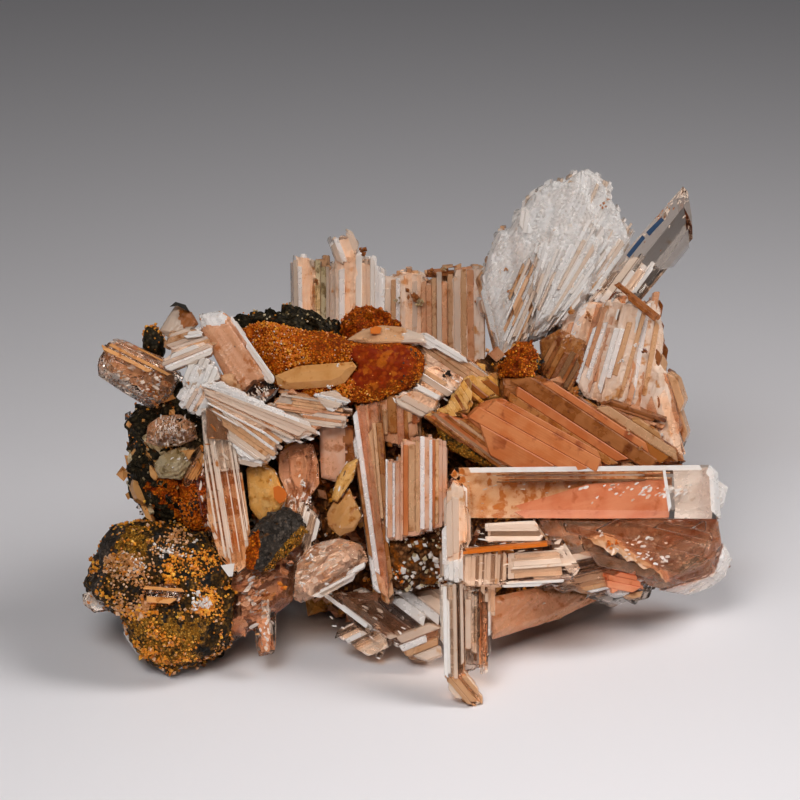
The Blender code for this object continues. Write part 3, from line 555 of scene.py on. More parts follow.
def zoned(spots: np.ndarray, faces: list[tuple[int, ...]], zones: tuple[Zone, ...]) -> list[int]:
    """Gives each face a skin by the zone that its middle lies in.

    Args:
        spots: the corners, as layout points.
        faces: the faces.
        zones: the zones.

    Returns:
        The skin of each face.
    """
    centres = np.array([spots[list(face)].mean(axis=0) for face in faces])
    skins = np.zeros(len(faces), int)
    for zone in zones:
        skins[zone.marks(centres)] = zone.skin
    return skins.tolist()


@dataclass(frozen=True)
class Body:
    """The crystal's own solid: bevelled, or carved along its grain where carve is more than nothing.

    carve is the depth of its grooves, groove their width, and ragged how far its ends break away, all in
    millimetres, with mesh_mm the size of the mesh that they are carved in. sink draws the whole skin in, to
    back the crystals that grow on it.
    """

    angle: float
    bevel: float = 0.35
    carve: float = 0
    groove: float = 1.2
    ragged: float = 0.5
    mesh_mm: float = 0.45
    sink: float = 0
    skin: int = 0
    zones: tuple[Zone, ...] = ()

    def lay(self, draft: Draft, node: str, rng: Rng) -> None:
        """Adds the solid.

        Args:
            draft: what it is added to.
            node: the solid of the frame whose shape it has.
            rng: the source of its own number.
        """
        mesh = even_mesh(node, self.mesh_mm) if self.carve else bevelled(node, self.bevel)
        spots = to_layout(read(mesh, "co"))
        normals = read(mesh, "normal") @ AXES.T
        grain = grain_of(spots, self.angle, rng.random())
        if self.carve:
            spots = spots + self.grooves(normals, grain)
        spots = spots - normals * self.sink
        faces = [tuple(face.vertices) for face in mesh.polygons]
        draft.add(spots, faces, grain, zoned(spots, faces, self.zones) if self.zones else self.skin)

    def grooves(self, normals: np.ndarray, grain: np.ndarray) -> np.ndarray:
        """Carves the grooves and the broken ends.

        Args:
            normals: the outward direction of each corner.
            grain: the grain of each corner.

        Returns:
            How far each corner moves, in layout millimetres.
        """
        way = np.array((*turned(self.angle), 0))
        facing = normals @ way
        moves = np.empty((len(grain), 3))
        for index, (across, along, own) in enumerate(grain):
            spot = Vector((across / self.groove, along / self.groove / GROOVE_LENGTH, own * GROOVE_SEED))
            dent = abs(noise.noise(spot)) + 0.5 * abs(noise.noise(spot * GROOVE_FINER))
            chip = noise.cell(Vector((across / self.groove * CHIP_FINER, along * CHIP_LENGTH, own * GROOVE_SEED)))
            end = abs(facing[index]) ** 2
            moves[index] = -normals[index] * self.carve * dent * (1 - end)
            moves[index] -= way * math.copysign(self.ragged * (chip * 0.5 + 0.5) * end, facing[index])
        return moves


def even_mesh(node: str, size: float) -> bpy.types.Mesh:
    """Makes an even mesh of a solid of the frame.

    Args:
        node: the solid.
        size: about how long the mesh's sides are, in millimetres.

    Returns:
        The mesh.
    """
    copy = link(node + "_even", bpy.data.objects[node].data.copy())
    even = copy.modifiers.new("even", "REMESH")
    even.mode = "VOXEL"
    even.voxel_size = size * MILLIMETRE
    mesh = bpy.data.meshes.new_from_object(copy.evaluated_get(bpy.context.evaluated_depsgraph_get()))
    bpy.data.objects.remove(copy)
    mesh.materials.clear()
    return mesh


def bevelled(node: str, width: float) -> bpy.types.Mesh:
    """Softens the edges of a solid of the frame.

    Args:
        node: the solid.
        width: how wide the bevels are, in millimetres.

    Returns:
        The mesh.
    """
    shape = bmesh.new()
    shape.from_mesh(bpy.data.objects[node].data)
    bmesh.ops.remove_doubles(shape, verts=shape.verts[:], dist=WELD)
    flat, sharp = math.radians(FLAT_DEGREES), math.radians(SHARP_DEGREES)
    bmesh.ops.dissolve_limit(shape, angle_limit=flat, verts=shape.verts[:], edges=shape.edges[:])
    edges = [edge for edge in shape.edges if edge.is_manifold and edge.calc_face_angle() > sharp]
    offset, look = width * MILLIMETRE, {"segments": BEVEL_ROUNDS, "profile": BEVEL_PROFILE}
    bmesh.ops.bevel(shape, geom=edges, offset=offset, affect="EDGES", clamp_overlap=True, **look)
    mesh = bpy.data.meshes.new(node)
    shape.to_mesh(mesh)
    shape.free()
    return mesh


class Nodes:
    """Short ways to add nodes to one tree."""

    def __init__(self, tree: bpy.types.NodeTree) -> None:
        """Works on a tree."""
        self.tree = tree

    def add(self, kind: str, inputs: dict, **settings: object) -> bpy.types.Node:
        """Adds a node.

        Args:
            kind: the node's type, without its usual first word.
            inputs: a value or a socket for each named or numbered input.
            settings: the node's own settings.

        Returns:
            The node.
        """
        made = self.tree.nodes.new(f"ShaderNode{kind}")
        for key, value in settings.items():
            setattr(made, key, value)
        self.fill(made, inputs)
        return made

    def fill(self, node: bpy.types.Node, inputs: dict) -> None:
        """Sets or links a node's inputs.

        Args:
            node: the node.
            inputs: a value or a socket for each named or numbered input.
        """
        for key, value in inputs.items():
            if isinstance(value, bpy.types.NodeSocket):
                self.tree.links.new(value, node.inputs[key])
            else:
                node.inputs[key].default_value = value

    def math(self, kind: str, *values: object, clamp: bool = False) -> bpy.types.NodeSocket:
        """The result of a sum on two or three values."""
        return self.add("Math", dict(enumerate(values)), operation=kind, use_clamp=clamp).outputs[0]

    def mix(self, share: object, first: object, second: object, blend: str = "MIX") -> bpy.types.NodeSocket:
        """Two colours mixed."""
        first, second = ((*c, 1) if isinstance(c, tuple) else c for c in (first, second))
        return self.add("Mix", {0: share, 6: first, 7: second}, data_type="RGBA", blend_type=blend).outputs[2]

    def step(self, value: object, low: object, high: object) -> bpy.types.NodeSocket:
        """A value stretched to run softly from 0 to 1 between two others."""
        inputs = {"Value": value, "From Min": low, "From Max": high}
        return self.add("MapRange", inputs, interpolation_type="SMOOTHSTEP").outputs[0]

    def span(self, value: object, low: float, high: float) -> bpy.types.NodeSocket:
        """A value from 0 to 1 stretched to run between two others."""
        return self.add("MapRange", {"Value": value, "To Min": low, "To Max": high}).outputs[0]

    def shaded(self, colour: object, shade: object) -> bpy.types.NodeSocket:
        """A colour times a value."""
        grey = self.add("CombineColor", {0: shade, 1: shade, 2: shade}).outputs[0]
        return self.mix(1, colour, grey, "MULTIPLY")

    def bump(self, height: object, millimetres: float) -> bpy.types.NodeSocket:
        """The normal of a relief."""
        return self.add("Bump", {"Distance": millimetres * MILLIMETRE, "Height": height}).outputs[0]

    def carried(self) -> bpy.types.NodeSocketCollection:
        """How far a spot is across and along its crystal, and the crystal's number."""
        grain = self.add("Attribute", {}, attribute_name=GRAIN).outputs["Vector"]
        return self.add("SeparateXYZ", {0: grain}).outputs

    def place(self, size: object) -> bpy.types.NodeSocket:
        """Adds the spot on the object, in patches.

        Args:
            size: the size of the patches in millimetres.

        Returns:
            The spot.
        """
        scale = self.math("DIVIDE", 1 / MILLIMETRE, size)
        spot = self.add("TexCoord", {}).outputs["Object"]
        return self.add("VectorMath", {0: spot, "Scale": scale}, operation="SCALE").outputs[0]


def new_group(name: str, inputs: dict[str, float], outputs: tuple[str, ...]) -> tuple[Nodes, dict, bpy.types.Node]:
    """A shader node group with number inputs and outputs.

    Args:
        name: the group's name.
        inputs: each input and its usual value.
        outputs: the names of the outputs.

    Returns:
        The group's nodes, the sockets of its inputs, and its output node.
    """
    tree = bpy.data.node_groups.new(name, "ShaderNodeTree")
    for key, value in inputs.items():
        tree.interface.new_socket(key, in_out="INPUT", socket_type="NodeSocketFloat").default_value = value
    for key in outputs:
        tree.interface.new_socket(key, in_out="OUTPUT", socket_type="NodeSocketFloat")
    entry, leave = (tree.nodes.new(kind) for kind in ("NodeGroupInput", "NodeGroupOutput"))
    return Nodes(tree), {socket.name: socket for socket in entry.outputs if socket.name}, leave


def growth_lines(name: str) -> None:
    """Builds the lines that run along a crystal: fine ones for its relief and broad ones for its streaks.

    Args:
        name: the name of the node group.
    """
    nodes, entry, leave = new_group(name, {"Fine": 4, "Stretch": 0.08}, ("Height", "Streak", "Hatch", "Own"))
    carried = nodes.carried()
    own = nodes.math("MULTIPLY", carried[2], 37)
    for output, fine, stretch, detail in (("Height", 1, 1, 3), ("Streak", 0.22, 1, 2), ("Hatch", 0.35, 9, 5)):
        across = nodes.math("MULTIPLY", nodes.math("MULTIPLY", carried[0], entry["Fine"]), fine)
        along = nodes.math("MULTIPLY", nodes.math("MULTIPLY", carried[1], entry["Stretch"]), stretch)
        spot = nodes.add("CombineXYZ", {0: across, 1: along, 2: own}).outputs[0]
        wave = nodes.add("TexNoise", {"Vector": spot, "Scale": 1, "Detail": detail, "Roughness": 0.62})
        nodes.fill(leave, {output: nodes.step(wave.outputs[0], 0.3, 0.7)})
    nodes.fill(leave, {"Own": carried[2]})


def clouds(name: str) -> None:
    """Builds soft patches that don't follow the crystals.

    Args:
        name: the name of the node group.
    """
    nodes, entry, leave = new_group(name, {"Size": 6, "Share": 0.5, "Soft": 0.1, "Seed": 0}, ("Mask",))
    texture = {"Vector": nodes.place(entry["Size"]), "W": entry["Seed"], "Scale": 1, "Detail": 4}
    wave = nodes.add("TexNoise", texture, noise_dimensions="4D").outputs[0]
    edge = nodes.math("MULTIPLY_ADD", entry["Share"], -0.5, 0.75)
    low, high = (nodes.math(kind, edge, entry["Soft"]) for kind in ("SUBTRACT", "ADD"))
    nodes.fill(leave, {"Mask": nodes.step(wave, low, high)})


def granules(name: str) -> None:
    """Builds a crust of small grains, with a number of its own for each grain.

    Args:
        name: the name of the node group.
    """
    nodes, entry, leave = new_group(name, {"Size": 0.6}, ("Height", "Own"))
    spot = nodes.place(entry["Size"])
    cells = nodes.add("TexVoronoi", {"Vector": spot, "W": 1, "Scale": 1}, voronoi_dimensions="4D")
    fine = nodes.add("TexNoise", {"Vector": spot, "Scale": 2.2, "Detail": 3}).outputs[0]
    top = nodes.math("SUBTRACT", 1, cells.outputs["Distance"])
    own = nodes.add("SeparateColor", {0: cells.outputs["Color"]}).outputs[0]
    nodes.fill(leave, {"Height": nodes.math("MULTIPLY_ADD", fine, 0.5, top), "Own": own})


class Effect(Enum):
    """The effects that several finishes share."""

    LINES = "growth_lines"
    CLOUDS = "clouds"
    GRANULES = "granules"

    def on(self, nodes: Nodes, **inputs: float) -> bpy.types.NodeOutputs:
        """Puts the effect into a material, and builds it on first use.

        Args:
            nodes: the material's nodes.
            inputs: the effect's own values.

        Returns:
            The effect's outputs.
        """
        if self.value not in bpy.data.node_groups:
            {"growth_lines": growth_lines, "clouds": clouds, "granules": granules}[self.value](self.value)
        made = nodes.tree.nodes.new("ShaderNodeGroup")
        made.node_tree = bpy.data.node_groups[self.value]
        nodes.fill(made, inputs)
        return made.outputs


@dataclass(frozen=True)
class Finish:
    """What every finish shares: its name and how it becomes a material."""

    name: str

    def material(self) -> bpy.types.Material:
        """Makes the finish a material, on first use.

        Returns:
            The material.
        """
        title = self.name + "_finish"
        found = bpy.data.materials.get(title)
        if found:
            return found
        made = bpy.data.materials.new(title)
        made.use_nodes = True
        self.paint(Nodes(made.node_tree), made.node_tree.nodes["Principled BSDF"])
        return made

    def paint(self, nodes: Nodes, shader: bpy.types.Node) -> None:
        """Adds the finish's nodes to its shader."""
        raise NotImplementedError


@dataclass(frozen=True)
class Selenite(Finish):
    """A crystal finish.

    clean, cloud and stain are its colours where it is clear, milky and rusty, with cloudy and stained the
    share of each. clear is how much light passes, rough and rougher its roughness where it is clear and milky,
    lines how deep its growth lines are in millimetres, fine how many there are in a millimetre, and stretch how
    many of their parts. patch is the size of its patches, vary how much the crystals of a bundle differ, and
    smoke and murk the colour and strength of what it absorbs.
    """

    clean: Colour
    cloud: Colour
    stain: Colour
    cloudy: float = 0.5
    stained: float = 0.3
    clear: float = 0.2
    rough: float = 0.15
    rougher: float = 0.4
    lines: float = 0.01
    fine: float = 2.5
    stretch: float = 0.07
    patch: float = 5
    vary: float = 0.25
    smoke: Colour = (0.9, 0.8, 0.7)
    murk: float = 0

    def paint(self, nodes: Nodes, shader: bpy.types.Node) -> None:
        """Adds milky and rusty patches, streaks and growth lines.

        Args:
            nodes: the material's nodes.
            shader: its Principled shader.
        """
        lines = Effect.LINES.on(nodes, Fine=self.fine, Stretch=self.stretch)
        milk = Effect.CLOUDS.on(nodes, Size=self.patch, Share=self.cloudy, Soft=0.08, Seed=2)["Mask"]
        rust = Effect.CLOUDS.on(nodes, Size=self.patch * 0.6, Share=self.stained, Soft=0.05, Seed=7)["Mask"]
        streaks = nodes.math("MULTIPLY", lines["Streak"], lines["Hatch"])
        milky = nodes.math("MULTIPLY_ADD", streaks, 0.7, nodes.math("MULTIPLY", milk, 0.7), clamp=True)
        rusty = nodes.math("MULTIPLY", rust, nodes.step(lines["Hatch"], -0.2, 0.7))
        colour = nodes.mix(rusty, nodes.mix(milky, self.clean, self.cloud), self.stain)
        shade = nodes.math("MULTIPLY_ADD", lines["Own"], self.vary, 1 - self.vary)
        height = nodes.math("MULTIPLY_ADD", lines["Hatch"], 0.4, lines["Height"])
        nodes.fill(shader, {
            "Base Color": nodes.shaded(colour, shade),
            "Roughness": nodes.span(milky, self.rough, self.rougher),
            "Normal": nodes.bump(height, self.lines),
            "IOR": SELENITE_IOR,
            "Transmission Weight": self.clear,
        })
        leave = nodes.tree.nodes["Material Output"]
        if self.clear >= LETS_LAMPS_THROUGH:
            tint = (*(part * self.clear for part in self.clean), 1)
            lets = nodes.add("BsdfTransparent", {"Color": tint}).outputs[0]
            ray = nodes.add("LightPath", {}).outputs["Is Shadow Ray"]
            mixed = nodes.add("MixShader", {0: ray, 1: shader.outputs[0], 2: lets})
            nodes.fill(leave, {"Surface": mixed.outputs[0]})
        if self.murk:
            absorbs = nodes.add("VolumeAbsorption", {"Color": (*self.smoke, 1), "Density": self.murk})
            nodes.fill(leave, {"Volume": absorbs.outputs[0]})


@dataclass(frozen=True)
class Ore(Finish):
    """A rock finish.

    deep and body are its colours, mixed in patches, and top that of some of its grains; crust is that of the patches
    on it, with crusted their share and patch their size. size is its grains' and relief their height, in millimetres.
    rough and rougher are the least and most rough of its grains, and shade how dark the painted shade in the hollows
    between its grains is.
    """

    deep: Colour
    body: Colour
    top: Colour
    crust: Colour
    crusted: float = 0.35
    size: float = 0.6
    relief: float = 0.25
    rough: float = 0.5
    rougher: float = 0.8
    patch: float = 3
    shade: float = 0.35

    def paint(self, nodes: Nodes, shader: bpy.types.Node) -> None:
        """Adds grains, patches and crusts, and painted shade in the hollows between the grains.

        Args:
            nodes: the material's nodes.
            shader: its Principled shader.
        """
        grains = Effect.GRANULES.on(nodes, Size=self.size)
        patches = Effect.CLOUDS.on(nodes, Size=self.patch, Share=0.5, Soft=0.2, Seed=3)["Mask"]
        crust = Effect.CLOUDS.on(nodes, Size=self.patch * 0.5, Share=self.crusted, Soft=0.04, Seed=11)["Mask"]
        colour = nodes.mix(nodes.step(grains["Own"], 0.5, 1), nodes.mix(patches, self.deep, self.body), self.top)
        # painted shade: the colour is darkened in the hollows between the grains, down to shade there
        shade = nodes.span(nodes.step(grains["Height"], 0.5, 1.1), self.shade, 1)
        nodes.fill(shader, {
            "Base Color": nodes.shaded(nodes.mix(crust, colour, self.crust), shade),
            "Roughness": nodes.span(grains["Own"], self.rough, self.rougher),
            "Normal": nodes.bump(grains["Height"], self.relief),
            "Specular IOR Level": 0.1,
        })


@dataclass(frozen=True)
class Grit(Finish):
    """A finish for loose grains, flakes and small crystals, each of its own tone between three colours; some grits
    also paint reflections, highlights, glints and shade.
    """

    first: Colour
    second: Colour
    third: Colour
    rough: float = 0.3
    clear: float = 0
    alpha: float = 1

    def paint(self, nodes: Nodes, shader: bpy.types.Node) -> None:
        """Adds the shades and some dirt.

        Args:
            nodes: the material's nodes.
            shader: its Principled shader.
        """
        ramp = nodes.add("ValToRGB", {0: nodes.carried()[2]})
        ramp.color_ramp.elements[0].color = (*self.first, 1)
        ramp.color_ramp.elements[1].color = (*self.third, 1)
        ramp.color_ramp.elements.new(0.55).color = (*self.second, 1)
        dirt = Effect.CLOUDS.on(nodes, Size=1.5, Share=0.5, Soft=0.2, Seed=5)["Mask"]
        nodes.fill(shader, {
            "Base Color": nodes.mix(nodes.math("MULTIPLY", dirt, 0.35), ramp.outputs[0], self.first),
            "Roughness": self.rough,
            "Transmission Weight": self.clear,
            "Alpha": self.alpha,
        })


@dataclass(frozen=True)
class Piece:
    """What stands for one solid of the frame: the frame's slot that it stands in, which is kept but not used, and the
    finishes it wears, by their numbers.
    """

    slot: Slot
    finishes: tuple[Finish, ...]

    def build(self, node: str) -> bpy.types.Object:
        """Makes the piece from the solid of that name."""
        raise NotImplementedError

    def dress(self, made: bpy.types.Object, node: str) -> None:
        """Puts on the finishes and ties the piece to the frame in place of its solid.

        Args:
            made: the piece.
            node: the solid.
        """
        for finish in self.finishes:
            made.data.materials.append(finish.material())
        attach(made, "root")
        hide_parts(node)


@dataclass(frozen=True)
class Crystals(Piece):
    """A crystal or a bundle of crystals, with what grows in and on it, and a core that shows through it."""

    body: Body
    growths: tuple[Growth, ...]
    core: Body | None = None

    def build(self, node: str) -> bpy.types.Object:
        """Puts its body and all that has grown in and on it into one mesh.

        Args:
            node: the solid that the piece stands for.

        Returns:
            The piece.
        """
        draft, rng = Draft(), random.Random(f"{node} {SEED}")
        for body in (self.body, self.core):
            if body:
                body.lay(draft, node, rng)
        for growth in self.growths:
            growth.lay(draft, rng, solid_of(node))
        return draft.piece(node + "_crystals")


@dataclass(frozen=True)
class Crop:
    """Grains that sit thickly on one part of a rock, or all over it where there is no outline."""

    count: int
    size: Point
    skin: int = 1
    outline: Outline | None = None
    clump: float = 1.6

    def sow(self, draft: Draft, rng: Rng, spots: np.ndarray, normals: np.ndarray) -> None:
        """Adds the grains.

        Args:
            draft: what they are added to.
            rng: the source of their differences.
            spots: the rock's corners, as layout points.
            normals: the rock's outward directions there.
        """
        order = np.arange(len(spots))
        if self.outline:
            order = order[inside(from_sheet(self.outline), spots[:, :2]) & (normals[:, 2] > FACING_AWAY)]
        order = order.tolist()
        rng.shuffle(order)
        made = 0
        for index in order:
            if made >= self.count:
                break
            thickly = noise.noise(Vector(spots[index]) / CROP_WAVE)
            if rng.random() > CROP_SHARE + thickly * self.clump:
                continue
            size = rng.uniform(*self.size) * (CROP_SMALLEST + max(thickly, 0))
            off = np.array([rng.uniform(-CROP_STRAY, CROP_STRAY) for _ in range(3)])
            off -= normals[index] * np.dot(off, normals[index])
            spot = spots[index] + off + normals[index] * size * rng.uniform(*CROP_STANDS)
            add_grain(draft, rng, spot, size, self.skin)
            made += 1


def add_grain(draft: Draft, rng: Rng, spot: np.ndarray, size: float, skin: int) -> None:
    """Adds one small crystal with eight faces, turned at random.

    Args:
        draft: what it is added to.
        rng: the source of its shape.
        spot: its middle, as a layout point.
        size: half its length in millimetres.
        skin: which finish it wears.
    """
    turn = Vector((rng.gauss(0, 1), rng.gauss(0, 1), rng.gauss(0, 1))).to_track_quat("Z", "Y").to_matrix()
    wide, deep = size * rng.uniform(*GRAIN_WIDE), size * rng.uniform(*GRAIN_DEEP)
    tips = ((wide, 0, 0), (0, deep, 0), (-wide, 0, 0), (0, -deep, 0), (0, 0, size), (0, 0, -size))
    corners = np.array([spot + np.array(turn @ Vector(tip)) for tip in tips])
    faces = [(0, 1, 4), (1, 2, 4), (2, 3, 4), (3, 0, 4), (1, 0, 5), (2, 1, 5), (3, 2, 5), (0, 3, 5)]
    own = np.tile((rng.uniform(0, GRAIN_SPREAD), 0, rng.random()), (len(tips), 1))
    draft.add(corners, faces, own, skin)


@dataclass(frozen=True)
class Rock(Piece):
    """A lump of ore with the shape of its solid, roughened, with grains on it.

    mesh_mm is the size of its mesh, lumps the widths and heights of its unevenness, facets the height of its
    broken faces and swell how far its skin grows, all in millimetres.
    """

    mesh_mm: float = 0.4
    lumps: tuple[Point, ...] = ((5, 0.8), (1.6, 0.45), (0.8, 0.2))
    facets: float = 0.3
    swell: float = 0.25
    zones: tuple[Zone, ...] = ()
    crops: tuple[Crop, ...] = ()
    extras: tuple[Growth, ...] = ()

    def build(self, node: str) -> bpy.types.Object:
        """Moves the skin of the solid in and out, and strews the grains on it.

        Args:
            node: the solid that the piece stands for.

        Returns:
            The piece.
        """
        mesh = even_mesh(node, self.mesh_mm)
        spots, normals = read(mesh, "co") / MILLIMETRE, read(mesh, "normal")
        moves = np.full(len(spots), self.swell)
        for index, spot in enumerate(spots):
            at = Vector(spot)
            moves[index] += sum(noise.noise(at / wide + LUMP_OFFSET) * high for wide, high in self.lumps)
            if self.facets:
                moves[index] += self.facets * facet(at / FACET_SIZE + LUMP_OFFSET)
        spots += normals * moves[:, None]
        spots[:, 2] = np.maximum(spots[:, 2], 0)
        layout = to_layout(spots * MILLIMETRE)
        faces = [tuple(face.vertices) for face in mesh.polygons]
        draft, rng = Draft(), random.Random(f"{node} {SEED}")
        draft.add(layout, faces, grain_of(layout, 0, 0.5), zoned(layout, faces, self.zones))
        for crop in self.crops:
            crop.sow(draft, rng, layout, normals @ AXES.T)
        for extra in self.extras:
            extra.lay(draft, rng, solid_of(node))
        made = draft.piece(node + "_rock")
        if not self.facets:
            smooth = np.zeros(len(made.data.polygons), bool)
            smooth[: len(faces)] = True
            made.data.polygons.foreach_set("use_smooth", smooth)
        return made


def facet(spot: Vector) -> float:
    """Makes broken faces, each with its own slant.

    Args:
        spot: a spot on the rock.

    Returns:
        The height there.
    """
    centre = noise.voronoi(spot)[1][0]
    slant = Vector([noise.cell(centre * seed) - 0.5 for seed in FACET_SEEDS])
    return FACET_HEIGHT * slant.dot(spot - centre)


class Region:
    """What every region of the specimen shares: its fields are its pieces, each named after its solid."""

    def build(self) -> dict[str, bpy.types.Object]:
        """Makes each piece's mesh."""
        return {part.name: getattr(self, part.name).build(part.name) for part in fields(self)}

    def dress(self, made: dict[str, bpy.types.Object]) -> None:
        """Dresses each piece and reports it.

        Args:
            made: each piece by the name of its solid.
        """
        for node, item in made.items():
            getattr(self, node).dress(item, node)
            LOG.info("%s: %d faces", item.name, len(item.data.polygons))


CLEAR = Selenite("clear_selenite", (0.97, 0.88, 0.8), (0.92, 0.78, 0.68), (0.76, 0.42, 0.2), cloudy=0.3, stained=0.12,
    clear=1, rough=0, rougher=0.03, lines=0.003, fine=1.5, smoke=(0.96, 0.86, 0.78), murk=50)
FROST = Selenite("frosted_selenite", (0.98, 0.91, 0.86), (0.98, 0.94, 0.91), (0.84, 0.58, 0.38), stained=0.15,
    clear=0.4, rough=0.12, lines=0.02, fine=3, patch=2.5, vary=0.08)
SILK = Selenite("silky_selenite", (0.88, 0.7, 0.56), (0.82, 0.62, 0.48), (0.74, 0.42, 0.2), cloudy=0.4, stained=0.2,
    clear=0.4, rough=0.06, rougher=0.25, lines=0.008, fine=3.5, vary=0.08)
HONEY = Selenite("honey_selenite", (0.92, 0.46, 0.16), (0.8, 0.36, 0.1), (0.55, 0.17, 0.018), cloudy=0.4, clear=0.3,
    rough=0.05, rougher=0.2, lines=0.004, fine=2, patch=3.5)
GOLDEN = Selenite("golden_selenite", (0.84, 0.38, 0.08), (0.86, 0.46, 0.14), (0.55, 0.2, 0.02), stained=0.35,
    clear=0.15, rough=0.1, rougher=0.35, fine=3, patch=2.5, vary=0.2)
FAWN = Selenite("fawn_selenite", (0.84, 0.47, 0.25), (0.74, 0.38, 0.18), (0.45, 0.15, 0.03), lines=0.012, fine=3,
    patch=4)
BLUSH = Selenite("blush_selenite", (0.84, 0.42, 0.23), (0.74, 0.32, 0.15), (0.55, 0.16, 0.03), fine=3, patch=3.5,
    vary=0.2)
SALMON = Selenite("salmon_selenite", (0.54, 0.135, 0.03), (0.62, 0.2, 0.06), (0.35, 0.07, 0.012), clear=0.08,
    rough=0.35, rougher=0.55, lines=0.02, fine=2, stretch=0.02, vary=0.15)
ROSE = Selenite("rose_selenite", (0.8, 0.36, 0.19), (0.86, 0.5, 0.34), (0.48, 0.15, 0.04), stained=0.25, rough=0.25,
    rougher=0.5, lines=0.014, vary=0.2)
CORE = Selenite("warm_core", (0.86, 0.56, 0.38), (0.9, 0.68, 0.54), (0.62, 0.26, 0.08), clear=0.1, rough=0.35,
    rougher=0.55, lines=0.02, patch=4, vary=0.1)
AMBER = Selenite("amber_selenite", (0.31, 0.085, 0.014), (0.46, 0.15, 0.035), (0.18, 0.038, 0.005), stained=0.35,
    clear=0.15, rough=0.2, rougher=0.45, lines=0.012, patch=4)
RUSTY = Selenite("rusty_selenite", (0.46, 0.14, 0.024), (0.56, 0.22, 0.06), (0.26, 0.055, 0.007), stained=0.35,
    clear=0.25, lines=0.012, patch=3)
SMOKE = Selenite("smoky_selenite", (0.88, 0.62, 0.45), (0.66, 0.38, 0.22), (0.5, 0.2, 0.06), clear=0.8, rough=0.03,
    rougher=0.15, lines=0.006, fine=2, patch=3, smoke=(0.88, 0.58, 0.36), murk=60)
OLIVE = Selenite("olive_selenite", (0.62, 0.45, 0.22), (0.78, 0.62, 0.38), (0.24, 0.14, 0.04), stained=0.35,
    clear=0.3, rough=0.2, rougher=0.5, lines=0.02, patch=2)
LIMONITE = Ore("limonite", (0.38, 0.05, 0.003), (0.7, 0.125, 0.006), (0.86, 0.22, 0.012), (0.3, 0.035, 0.002),
    crusted=0.3, size=0.45, relief=0.35, rough=0.6, rougher=0.9, patch=4)
RED_LIMONITE = Ore("red_limonite", (0.19, 0.012, 0.001), (0.29, 0.03, 0.001), (0.34, 0.05, 0.003), (0.46, 0.1, 0.006),
    size=0.7, relief=0.1, rough=0.4, rougher=0.7, patch=5, shade=0.75)
GOETHITE = Ore("goethite", (0.013, 0.01, 0.006), (0.035, 0.026, 0.013), (0.08, 0.058, 0.03), (0.2, 0.06, 0.006),
    crusted=0.2, rough=0.3, rougher=0.7)
NODULE = Ore("nodule_goethite", (0.022, 0.016, 0.01), (0.1, 0.05, 0.012), (0.36, 0.16, 0.03), (0.03, 0.027, 0.024),
    crusted=0.4, size=0.7, relief=0.35, rough=0.35)
SLATE = Ore("slate_goethite", (0.028, 0.022, 0.018), (0.06, 0.045, 0.034), (0.12, 0.09, 0.07), (0.1, 0.04, 0.012),
    crusted=0.2, size=0.5, relief=0.12, rough=0.3, rougher=0.6, shade=0.6)
OCHRE_CRUST = Ore("ochre_crust", (0.26, 0.09, 0.008), (0.5, 0.2, 0.016), (0.72, 0.36, 0.06), (0.07, 0.045, 0.015),
    size=0.35, relief=0.15, patch=1.8)
MATRIX = Ore("iron_matrix", (0.06, 0.022, 0.008), (0.2, 0.07, 0.02), (0.34, 0.14, 0.05), (0.42, 0.11, 0.01), size=0.8,
    relief=0.3, rougher=0.85, patch=7)
TAN = Grit("tan_druse", (0.42, 0.15, 0.03), (0.62, 0.3, 0.12), (0.86, 0.6, 0.42), rough=0.45)
GOLD = Grit("gold_druse", (0.56, 0.16, 0.008), (0.86, 0.3, 0.02), (0.95, 0.5, 0.06), rough=0.45)
# White chips and grains; the same finish paints highlights, glints and reflections where white plates and clusters
# stand for light shining off a crystal.
WHITE = Grit("white_chips", (0.88, 0.76, 0.67), (0.94, 0.86, 0.8), (0.97, 0.93, 0.9), rough=0.15, clear=0.25)
# White veils and cracks inside crystals; the same finish paints the highlight along the long prism's top face.
VEIL_AND_HIGHLIGHT = Grit("white_veils", (0.9, 0.76, 0.66), (0.95, 0.86, 0.79), (0.98, 0.94, 0.9), rough=0.12, alpha=0.6)
RUST = Grit("rust_veils", (0.36, 0.09, 0.008), (0.52, 0.19, 0.035), (0.64, 0.32, 0.12), rough=0.4, alpha=0.75)
BROWN = Grit("brown_veils", (0.22, 0.09, 0.03), (0.38, 0.2, 0.1), (0.52, 0.32, 0.2), alpha=0.6)
ORANGE = Grit("orange_blobs", (0.52, 0.1, 0.004), (0.6, 0.14, 0.006), (0.7, 0.22, 0.012), rough=0.5)
# Black specks; the same finish paints shade where black clusters stand for dark hollows.
BLACK = Grit("black_specks", (0.01, 0.009, 0.009), (0.02, 0.017, 0.014), (0.05, 0.04, 0.03))
PHANTOM = Selenite("salmon_phantom", (0.66, 0.2, 0.085), (0.74, 0.29, 0.15), (0.54, 0.14, 0.045), clear=0, rough=0.4,
    rougher=0.5, stretch=0.02, vary=0.1)
OCHRE_PHANTOM = Selenite("ochre_phantom", (0.66, 0.3, 0.1), (0.78, 0.5, 0.3), (0.55, 0.17, 0.02), cloudy=0.6,
    stained=0.4, clear=0, rough=0.4, rougher=0.5, fine=2, stretch=0.03, patch=3, vary=0.1)
# Painted reflection: dark blue plates in the spear stand for the dark reflections on its faces.
PAINTED_BLUE_REFLECTION = Grit("blue_streak", (0.02, 0.04, 0.09), (0.03, 0.06, 0.12), (0.05, 0.09, 0.16), rough=0.15)
